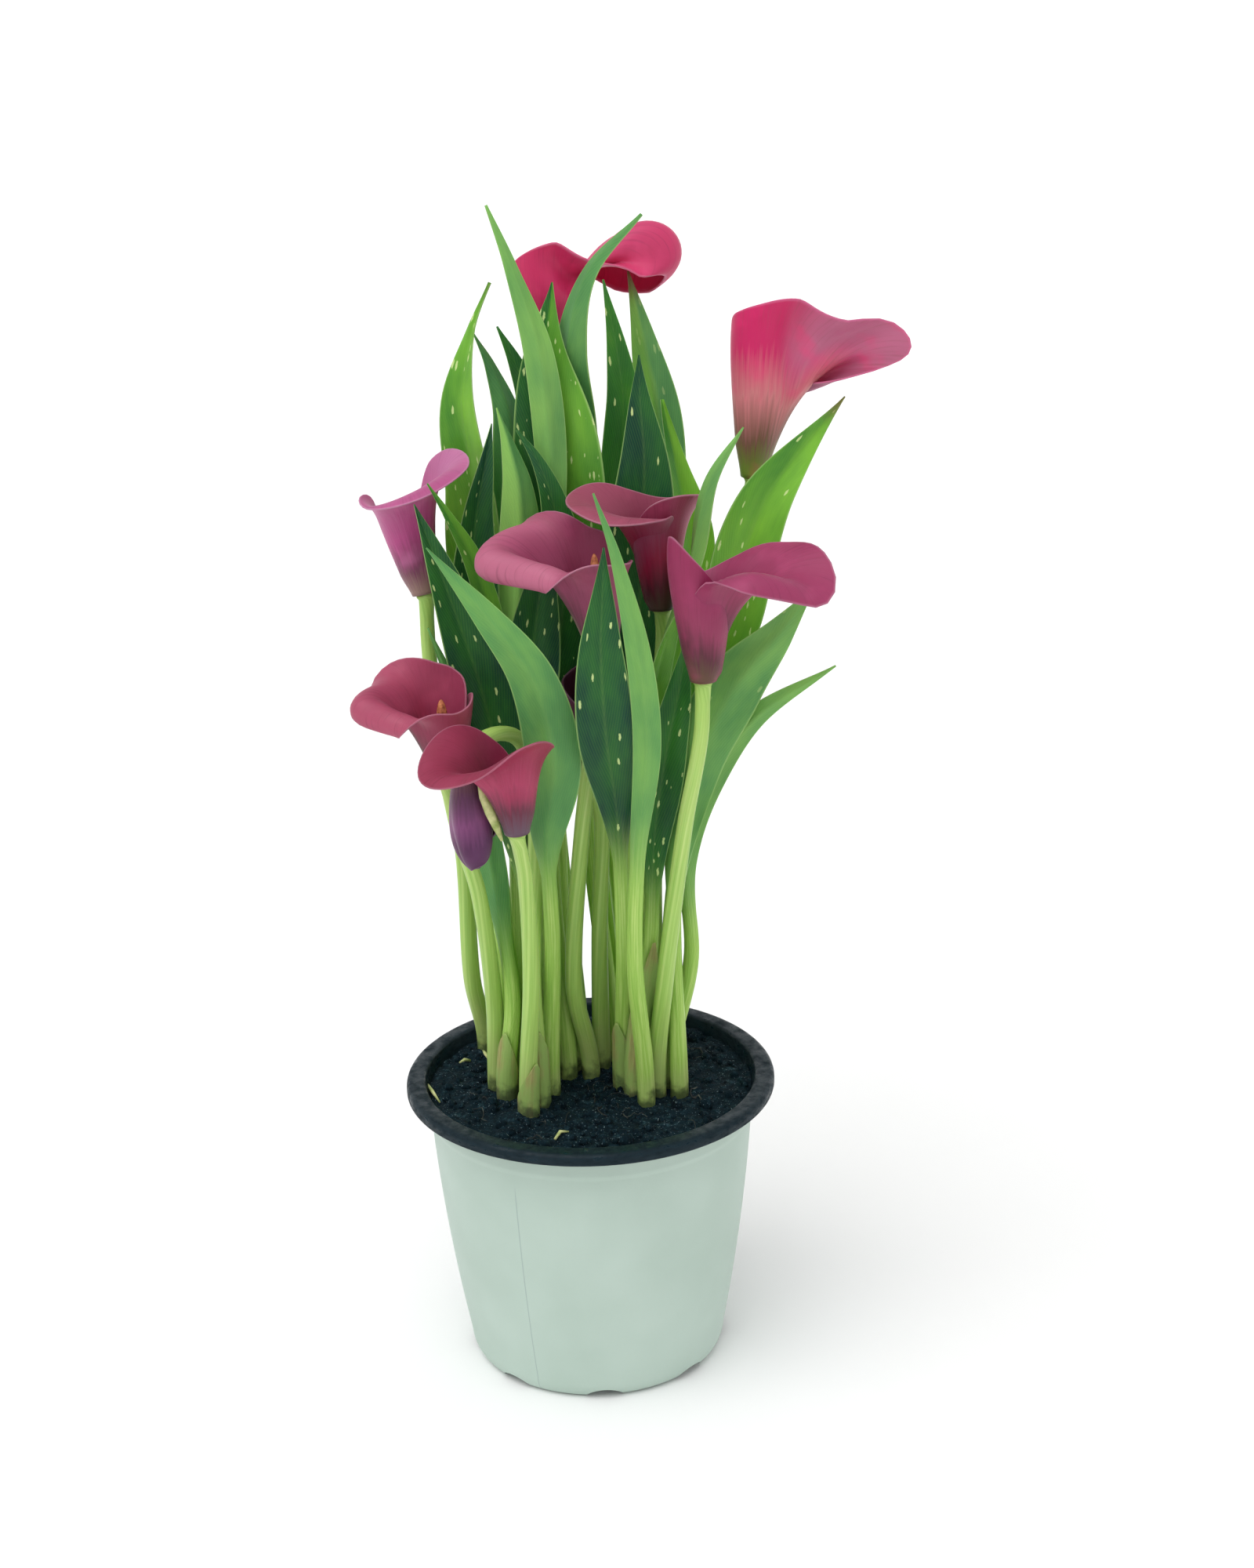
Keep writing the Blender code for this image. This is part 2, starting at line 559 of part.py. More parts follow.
class Spathe:
    """The shape of a bloom's sheet, as lines that run from the tube to its edge."""

    def __init__(self, spec, steps):
        self.spec = spec
        self.steps = steps
        top, self.axis = stalk_axis(spec)
        self.start = top + self.axis
        lip = Vector(spec["lip"])
        self.lip = (lip - self.axis * lip.dot(self.axis)).normalized()
        self.side = self.axis.cross(self.lip)
        self.first = spec["rim"][0][0]
        self.last = spec["rim"][-1][0]
        self.ridge = self.walk(0.0)

    def stop(self, step):
        """The share of a line at a step, with shorter steps toward the rim."""
        return 1 - (1 - step / self.steps) ** 1.5

    def lean(self, t, end, curl):
        """Degrees by which a line leans away from the axis at share t of its length."""
        return mix(self.spec["flare"], end, t ** curl)

    def rolled(self, t):
        """Degrees that the roll at the lip's end adds at share t."""
        begin, degrees = self.spec["roll"]
        return degrees * (max(0.0, t - begin) / (1 - begin)) ** 1.5

    def walk(self, degrees):
        """How far out from the axis and up along it the line runs, step by step."""
        reach, end = between(self.spec["rim"], degrees)
        near = math.exp(-(degrees / LIP_WIDE) ** 2)
        curl = mix(CURL, self.spec["curl"], near)
        out_by, up_by, t = 0.0, 0.0, 0.0
        passed = []
        for step in range(self.steps + 1):
            while t < self.stop(step) - 1e-9:
                stride = min(0.02, self.stop(step) - t)
                lean = math.radians(self.lean(t + stride / 2, end, curl) + near * self.rolled(t))
                out_by += reach * stride * math.sin(lean)
                up_by += reach * stride * math.cos(lean)
                t += stride
            passed.append((out_by, up_by))
        return passed

    def twisted(self, point, step, degrees):
        """The point turned about the middle of the lip by the lip's twist."""
        if step == 0 or not self.spec["twist"]:
            return point
        here, before = [self.start + self.lip * (TUBE_R + self.ridge[i][0]) + self.axis * self.ridge[i][1]
                        for i in (step, step - 1)]
        close = math.exp(-(degrees / (1.5 * LIP_WIDE)) ** 2)
        amount = self.spec["twist"] * close * smooth(0.5, 0.9, self.stop(step))
        turn = Matrix.Rotation(math.radians(amount), 3, here - before)
        return here + turn @ (point - here)

    def directions(self, count):
        """Degrees round the axis of the lines across the sheet, denser toward the lip."""
        before = round(count * self.first / (self.first - self.last))
        shares = [i / before for i in range(before, 0, -1)]
        found = [self.first * share * mix(LIP_DENSE, 1, share) for share in shares]
        shares = [i / (count - before) for i in range(count - before + 1)]
        return found + [self.last * share * mix(LIP_DENSE, 1, share) for share in shares]

    def line(self, degrees):
        """Points from the tube to the edge, in a direction round the axis from the lip."""
        layer = (degrees - self.first) / (self.last - self.first)
        if self.last < -self.first:
            layer = 1.0 - layer
        turned = math.radians(degrees)
        out = self.lip * math.cos(turned) + self.side * math.sin(turned)
        points = []
        for step, (out_by, up_by) in enumerate(self.walk(degrees)):
            point = self.start + out * (TUBE_R + SPIRAL * layer + out_by) + self.axis * up_by
            points.append(self.twisted(point, step, degrees))
        return points


def make_spathe(name, spec, look, collection):
    """A bloom's one sheet: rolled into a tube, open into a funnel with a drawn-out lip."""
    shape = bmesh.new()
    form = Spathe(spec, SPATHE_STEPS)
    lines = []
    for degrees in form.directions(SPATHE_ACROSS):
        lines.append([shape.verts.new(p) for p in form.line(degrees)])
    for low, high in zip(lines, lines[1:]):
        for j in range(SPATHE_STEPS):
            shape.faces.new((low[j], high[j], high[j + 1]))
            shape.faces.new((low[j], high[j + 1], low[j + 1]))
    thing = mesh_object(name, to_mesh(shape, name), collection, look)
    shell = thing.modifiers.new("thickness", "SOLIDIFY")
    shell.thickness = SHEET * MM
    shell.offset = 0.0
    return thing


def make_spadix(name, spec, look, collection):
    """The bloom's fleshy spike, standing on the top of its stalk."""
    shape = bmesh.new()
    top, axis = stalk_axis(spec)
    start = top + axis * (SOCKET + GAP)
    side = (Vector((1.0, 0.0, 0.0)) - axis * axis.x).normalized()
    other = axis.cross(side)
    rings = []
    for share, size in ((0.0, 0.9), (0.3, 1.0), (0.8, 0.85), (0.95, 0.6), (1.0, 0.25)):
        middle = start + axis * (spec["spadix"] * share)
        ring = []
        for i in range(STEM_SIDES):
            a = 2 * math.pi * i / STEM_SIDES
            out = side * math.cos(a) + other * math.sin(a)
            ring.append(shape.verts.new(middle + out * SPADIX_R * size))
        rings.append(ring)
    skin(shape, rings)
    return mesh_object(name, to_mesh(shape, name), collection, look)


def turned(name, profile, sides, collection, *looks):
    """A turned solid from a profile of radius and height in millimetres."""
    shape = bmesh.new()
    points = [shape.verts.new((r * MM, 0.0, z * MM)) for r, z in profile]
    for a, b in zip(points, points[1:]):
        shape.edges.new((a, b))
    mesh = bpy.data.meshes.new(name)
    shape.to_mesh(mesh)
    shape.free()
    thing = mesh_object(name, mesh, collection, *looks)
    screw = thing.modifiers.new("turn", "SCREW")
    screw.steps = sides
    screw.render_steps = sides
    screw.use_merge_vertices = True
    screw.merge_threshold = 0.00001
    return thing


def wall_radius(z):
    """Outer radius of the pot at height z: a bulging wall, and a collar over its step."""
    if z > STEP_Z:
        return mix(BODY_R + STEP_OUT, THROAT_R, (z - STEP_Z) / (POT_H - RIM_H - STEP_Z))
    share = (z - FOOT_Z) / (STEP_Z - FOOT_Z)
    return mix(FOOT_R, BODY_R, share) + BULGE * share * (1 - share)


def wall_heights():
    """Heights between the foot and the step at which the wall bends."""
    return [FOOT_Z] + [mix(FOOT_Z, STEP_Z, share) for share in WALL_STEPS] + [STEP_Z]


def pot_profile():
    """Inner floor, inner wall, rolled rim, outer wall with its step, and the flat base."""
    throat = wall_radius(POT_H - RIM_H)
    inside = [(0.0, WALL), (BASE_R - 1.0, WALL)]
    inside += [(wall_radius(z) - WALL, z) for z in wall_heights()]
    inside += [(throat - WALL, POT_H - RIM_H)]
    rim = [(throat - WALL + 0.2, POT_H - 1.2), (throat + 0.2, POT_H)]
    rim += [(RIM_R - RIM_ROUND, POT_H)]
    for degrees in (60, 30, 0):
        turn = math.radians(degrees)
        rim.append((RIM_R - RIM_ROUND + RIM_ROUND * math.cos(turn),
                    POT_H - RIM_ROUND + RIM_ROUND * math.sin(turn)))
    rim += [(RIM_R, POT_H - RIM_H + 1.0), (RIM_R - 1.0, POT_H - RIM_H), (throat + 0.6, POT_H - RIM_H)]
    outside = [(wall_radius(POT_H - RIM_H - 1.5), POT_H - RIM_H - 1.5)]
    outside += [(BODY_R + STEP_OUT, STEP_Z + STEP_OUT)]
    outside += [(wall_radius(z), z) for z in reversed(wall_heights())]
    outside += [(FOOT_R - 1.8, FOOT_Z * 0.3), (BASE_R, 0.0), (0.0, 0.0)]
    return inside + rim + outside


def notch_cutters(cutters):
    """Low arches through the foot of the pot, where water drains."""
    made = []
    for i in range(NOTCH_COUNT):
        angle = math.radians(-90 + NOTCH_TURN + 360 / NOTCH_COUNT * i)
        bpy.ops.mesh.primitive_cylinder_add(vertices=12, radius=1.0, depth=1.0)
        cutter = bpy.context.object
        cutter.name = f"notch_cutter_{i + 1}"
        cutter.scale = (NOTCH_HIGH * MM, NOTCH_WIDE / 2 * MM, NOTCH_DEEP * MM)
        cutter.rotation_euler = (0.0, math.radians(90), angle)
        cutter.location = (NOTCH_AT * MM * math.cos(angle), NOTCH_AT * MM * math.sin(angle), 0.0)
        move_to(cutter, cutters)
        made.append(cutter)
    return made


def move_to(thing, collection):
    for old in list(thing.users_collection):
        old.objects.unlink(thing)
    collection.objects.link(thing)
    thing.hide_render = True
    thing.display_type = "WIRE"


def cut(thing, cutters):
    """Takes every object of a collection out of the thing."""
    boolean = thing.modifiers.new("cut", "BOOLEAN")
    boolean.operation = "DIFFERENCE"
    boolean.operand_type = "COLLECTION"
    boolean.collection = cutters
    boolean.solver = "EXACT"
    return thing


def replace_mesh(thing, collection):
    """Puts a plain mesh with the modifiers applied in the thing's place."""
    mesh = evaluated_mesh(thing)
    name = thing.name
    bpy.data.objects.remove(thing)
    made = bpy.data.objects.new(name, mesh)
    collection.objects.link(made)
    return made


def make_pot(collection, cutters, outer, inner):
    """The pot: pale outside, dark inside and on its rim."""
    pot = turned("pot", pot_profile(), POT_SIDES, collection, outer, inner)
    notch_cutters(cutters)
    cut(pot, cutters)
    pot = replace_mesh(pot, collection)
    for face in pot.data.polygons:
        centre = face.center / MM
        radius = math.hypot(centre.x, centre.y)
        edge = wall_radius(max(centre.z, FOOT_Z)) - WALL * 0.5
        dark = centre.z > POT_H - RIM_H - 0.5 or (radius < edge and centre.z > WALL * 0.5)
        face.material_index = 1 if dark else 0
    return pot


def tuber_profile(radius, grow):
    """A flattened tuber, or its pocket in the soil when it is grown by a gap."""
    top = TUBER_TOP_Z + grow
    bottom = TUBER_TOP_Z - TUBER_H - grow
    wide = radius + grow
    shoulder = TUBER_TOP_Z - TUBER_H * 0.3
    belly = TUBER_TOP_Z - TUBER_H * 0.75
    return [(0.0, top), (radius * 0.6 + grow, top), (wide, shoulder),
            (radius * 0.85 + grow, belly), (radius * 0.4 + grow, bottom), (0.0, bottom)]


def make_tubers(collection, cutters, look):
    for number, clump in enumerate(TUBERS, 1):
        middle, radius = CLUMPS[clump]
        for kind, grow, home in (("tuber", 0.0, collection), ("pocket_cutter", GAP, cutters)):
            profile = tuber_profile(radius, grow)
            thing = turned(f"{kind}_{number}", profile, TUBER_SIDES, home, look)
            thing.location = (middle[0] * MM, middle[1] * MM, 0.0)
            if home is cutters:
                thing.hide_render = True
                thing.display_type = "WIRE"


def hole_cutters(cutters):
    """A plain round hole for every stem."""
    depth = SOIL_Z + 10.0 - (STEM_FOOT_Z - GAP)
    for name, spec in {**LEAVES, **BLOOMS}.items():
        foot = foot_of(spec["foot"])
        bpy.ops.mesh.primitive_cylinder_add(
            vertices=HOLE_SIDES, radius=(STEM_R + HOLE_GAP) * MM, depth=depth * MM)
        cutter = bpy.context.object
        cutter.name = f"hole_cutter_{name}"
        cutter.location = (foot.x * MM, foot.y * MM, (STEM_FOOT_Z - GAP + depth / 2) * MM)
        move_to(cutter, cutters)


def make_soil(collection, cutters, look):
    """The soil: fills the pot, with a slightly uneven top, holes and tuber pockets."""
    floor = WALL + GAP
    edge = wall_radius(SOIL_Z) - WALL - GAP
    profile = [(0.0, SOIL_Z + SOIL_DOME)]
    profile += [(r, SOIL_Z + SOIL_DOME * (1 - (r / edge) ** 2)) for r in (14.0, 30.0, 46.0)]
    profile += [(edge, SOIL_Z), (BODY_R - WALL - GAP, STEP_Z)]
    profile += [(wall_radius(z) - WALL - GAP, z) for z in reversed(wall_heights()[1:-1])]
    profile += [(FOOT_R - WALL - GAP, FOOT_Z + 0.5), (BASE_R - 2.5, floor), (0.0, floor)]
    soil = turned("soil", profile, SOIL_SIDES, collection, look)
    soil = replace_mesh(soil, collection)
    for vertex in soil.data.vertices:
        x, y, z = vertex.co / MM
        if z > SOIL_Z + 0.1:
            vertex.co.z += SOIL_BUMP * MM * math.sin(0.21 * x + 1.0) * math.sin(0.17 * y + 0.4)
    cut(soil, cutters)
    return soil


def main():
    for old in list(bpy.data.objects):
        bpy.data.objects.remove(old)
    lily = new_collection("potted_calla_lily")
    pot_cutters = new_collection("pot_cutters")
    soil_cutters = new_collection("soil_cutters")

    pot_outer = material("pot_pale_green", (0.46, 0.60, 0.50), 0.45)
    pot_inner = material("pot_dark", (0.02, 0.045, 0.055), 0.3)
    peat = material("peat", (0.012, 0.010, 0.009), 0.95)
    tuber_skin = material("tuber_skin", (0.25, 0.15, 0.08), 0.8)
    leaf_green = material("leaf_green", (0.06, 0.22, 0.07), 0.4)
    stalk_green = material("stalk_green", (0.25, 0.42, 0.10), 0.4)
    spathe_pink = material("spathe_magenta", (0.42, 0.03, 0.13), 0.45)
    spadix_orange = material("spadix_orange", (0.55, 0.22, 0.06), 0.7)

    make_pot(lily, pot_cutters, pot_outer, pot_inner)
    make_tubers(lily, soil_cutters, tuber_skin)
    hole_cutters(soil_cutters)
    make_soil(lily, soil_cutters, peat)
    for name, spec in LEAVES.items():
        make_leaf(name, spec, leaf_green, lily)
    for name, spec in BLOOMS.items():
        make_stalk(f"stalk_{name}", spec, stalk_green, lily)
        make_spathe(f"spathe_{name}", spec, spathe_pink, lily)
        make_spadix(f"spadix_{name}", spec, spadix_orange, lily)


main()
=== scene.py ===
"""The looks of the potted calla lily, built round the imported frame.

Sizes are in millimetres, as in the part's own source, and MM turns them into metres.
A unit of the UV layer on leaves, stalks and sheaths stands for UV_UNIT millimetres.
Each leaf, stalk, spathe and spadix is made again here from the same line or rim, with
more faces, its veins and its colours. Colours are written as a screen shows them.
"""

import json
import math
import random

import bmesh
import bpy
import numpy as np
from mathutils import Matrix, Vector, noise

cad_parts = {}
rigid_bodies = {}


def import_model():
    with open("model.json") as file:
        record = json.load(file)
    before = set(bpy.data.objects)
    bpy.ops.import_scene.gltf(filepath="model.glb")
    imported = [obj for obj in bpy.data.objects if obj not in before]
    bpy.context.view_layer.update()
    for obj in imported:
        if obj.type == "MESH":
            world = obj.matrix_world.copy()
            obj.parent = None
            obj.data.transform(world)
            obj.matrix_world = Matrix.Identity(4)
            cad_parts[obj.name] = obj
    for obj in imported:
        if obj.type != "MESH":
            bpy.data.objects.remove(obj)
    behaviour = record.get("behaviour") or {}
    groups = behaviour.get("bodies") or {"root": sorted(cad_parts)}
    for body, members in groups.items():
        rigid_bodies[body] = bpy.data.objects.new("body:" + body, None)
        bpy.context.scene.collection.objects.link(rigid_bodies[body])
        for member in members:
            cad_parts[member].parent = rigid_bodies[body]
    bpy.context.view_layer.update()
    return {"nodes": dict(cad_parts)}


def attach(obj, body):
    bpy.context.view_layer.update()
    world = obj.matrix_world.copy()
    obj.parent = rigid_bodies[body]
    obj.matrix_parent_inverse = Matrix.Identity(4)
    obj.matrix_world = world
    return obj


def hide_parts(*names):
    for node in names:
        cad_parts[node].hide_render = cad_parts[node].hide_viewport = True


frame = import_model()

MM = 0.001
GAP = 0.3
UV_UNIT = 100.0
UP = Vector((0.0, 0.0, 1.0))
RIGHT = Vector((1.0, 0.0, 0.0))

# Pot
RIM_R = 70.0
POT_H = 114.0
RIM_H = 4.6
RIM_ROUND = 2.2
THROAT_R = 62.9
STEP_Z = 100.0
STEP_OUT = 0.9
STEP_TALL = 3.4
STEP_SLOPE = 8
BODY_R = 61.2
BULGE = 5.6
FOOT_R = 49.4
FOOT_Z = 8.0
BASE_R = 44.0
WALL = 1.3
WALL_STEPS = 14
POT_SIDES = 144
NOTCH_COUNT = 8
NOTCH_TURN = 3.0
NOTCH_WIDE = 14.0
NOTCH_HIGH = 4.0
NOTCH_DEEP = 14.0
NOTCH_AT = FOOT_R - 4.0
NOTCH_SIDES = 40
SEAM_TURN = -117.6
SEAM_TOP = 95.0
SEAM_FADE = 7.0
THROAT_ROUND = 1.3
UNDER_ROUND = 0.8
FOOT_STEPS = 8
SHARP_ANGLE = 38.0

# Soil
SOIL_Z = 109.0
SOIL_DOME = 1.2
SOIL_RINGS = 70
SOIL_SIDES = 220
CRUMBS = 520
CRUMB_SEED = 4
CRUMB_INSET = 2.5
FIBRES = 50
FIBRE_SEED = 9
FIBRE_INSET = 9.0
FIBRE_POINTS = 7
FIBRE_SIDES = 5
SCRAP_SIDES = 8
FOOT_DARK_HIGH = 9.0

# Stems and leaves
STEM_FOOT_Z = 82.0
CELL = 8.4
ROW_STEP = 0.87
STEM_R = 3.5
STALK_TOP_R = 2.6
STRAIGHT_Z = 113.0
BLADE_THICK = 0.55
RIB_THICK = 1.5
RIB_WIDE = 1.3
GROOVE_DEEP = 0.45
GROOVE_WIDE = 0.8
PETIOLE_ROUND = 72
PETIOLE_TAPER = 0.8
PETIOLE_CHANNEL = 0.3
RIPPLES = 17
TIP_HALF = 0.3
LEAF_ACROSS = 17
STALK_STEPS = 22
BLADE_STEPS = 54
STALK_SIDES = 20
STALK_RINGS = 50
STALK_END = 0.96
SHEATH_GAP = 0.5
SHEATH_THICK = 0.35
SHEATH_ROWS = 26
SHEATH_ACROSS = 20
SHEATH_OPEN = 160
SHEATH_TIP = 6

# Blooms
SHEET = 0.6
TUBE_R = 3.6
CURL = 4.4
LIP_WIDE = 40.0
SOCKET = 6.0
SPIRAL = 2.2
TIGHT = 1.0
SPATHE_ACROSS = 76
SPATHE_STEPS = 46
LIP_DENSE = 0.6
SWELLING = ((-1.0, 2.9), (0.3, 3.5), (0.6, 3.3), (0.8, 2.7), (SOCKET, STALK_TOP_R))
SPADIX_R = 2.3
SPADIX_RINGS = 56
SPADIX_SIDES = 54
GRAINS = 9
GRAIN_HIGH = 0.14

# View and light
AIM_X = 16.8
AIM_Z = 230.0
VIEW_DOWN = 20.0
VIEW_ROLL = -1.5
VIEW_DISTANCE = 1075.0
VIEW_ANGLE = 30.0
WORLD_LIGHT = 0.62
SUN_LIGHT = 1.45
SUN_WIDTH = 50.0
ROOM_R = 3600.0
ROOM_ROUND = 900.0
ROOM_H = 2600.0
SUN_AT = Vector((-550.0, -700.0, 1900.0))
SUN_AIM = Vector((0.0, 0.0, 220.0))

# Colours. In a ramp each has its place from 0 to 1 before it.
# Leaf greens run from dark to bright: the dark end also stands for painted shade and the bright end for
# painted backlight.
LEAF_UPPER = ((14, 64, 48), (60, 132, 42), (136, 200, 62))
LEAF_UNDER = ((48, 102, 68), (94, 154, 86), (150, 204, 98))
LEAF_RIB = (140, 182, 96)
# A painted highlight along each leaf's margin.
LEAF_MARGIN_HIGHLIGHT = (158, 198, 116)
LEAF_FLECK = (205, 226, 150)
LEAF_WITHERED = (122, 100, 62)
PETIOLE_RAMP = ((0.3, (140, 188, 78)), (0.5, (166, 206, 98)), (0.75, (198, 226, 132)))
PETIOLE_FOOT = (182, 186, 132)
STALK_RAMP = ((0.3, (144, 190, 82)), (0.5, (170, 208, 104)), (0.75, (200, 226, 136)))
STALK_FOOT = (178, 182, 128)
# The dark colour that stems take just above the soil.
STEM_FOOT_DARK = (38, 50, 34)
SPADIX_RAMP = ((0.3, (150, 84, 52)), (0.55, (204, 124, 80)), (0.8, (232, 170, 110)))
SHEATH_RAMP = ((0.25, (136, 128, 78)), (0.55, (172, 168, 102)), (0.8, (208, 208, 142)))
SHEATH_GREEN = (152, 184, 98)
POT_RAMP = ((0.3, (178, 198, 186)), (0.7, (188, 207, 196)))
POT_GRAIN = (172, 192, 184)
POT_SEAM = (148, 166, 164)
RIM_RAMP = ((0.4, (9, 29, 37)), (0.65, (12, 35, 44)), (0.8, (34, 58, 67)))
RIM_DUST = (20, 24, 25)
# The peat's palest stop is partly painted highlight, and its glint colour is a painted glint.
PEAT_RAMP = ((0.3, (3, 15, 22)), (0.55, (14, 40, 50)), (0.75, (58, 88, 98)))
PEAT_GLINT = (136, 160, 166)
FIBRE_RAMP = ((0.35, (20, 26, 28)), (0.55, (44, 50, 48)), (0.75, (104, 108, 98)))
STRAW_RAMP = ((0.3, (150, 170, 84)), (0.7, (222, 222, 160)))
TUBER_RAMP = ((0.3, (88, 58, 38)), (0.7, (158, 118, 80)))
FLOOR_WHITE = (254, 254, 254)

# Where cell 0, 0 of each clump of shoots stands, to the right and to the back
CLUMPS = {
    "back_left": (-41, 32),
    "front_left": (-23, -11),
    "middle": (-4, 11),
    "right": (21, -5),
    "back": (12, 33),
}
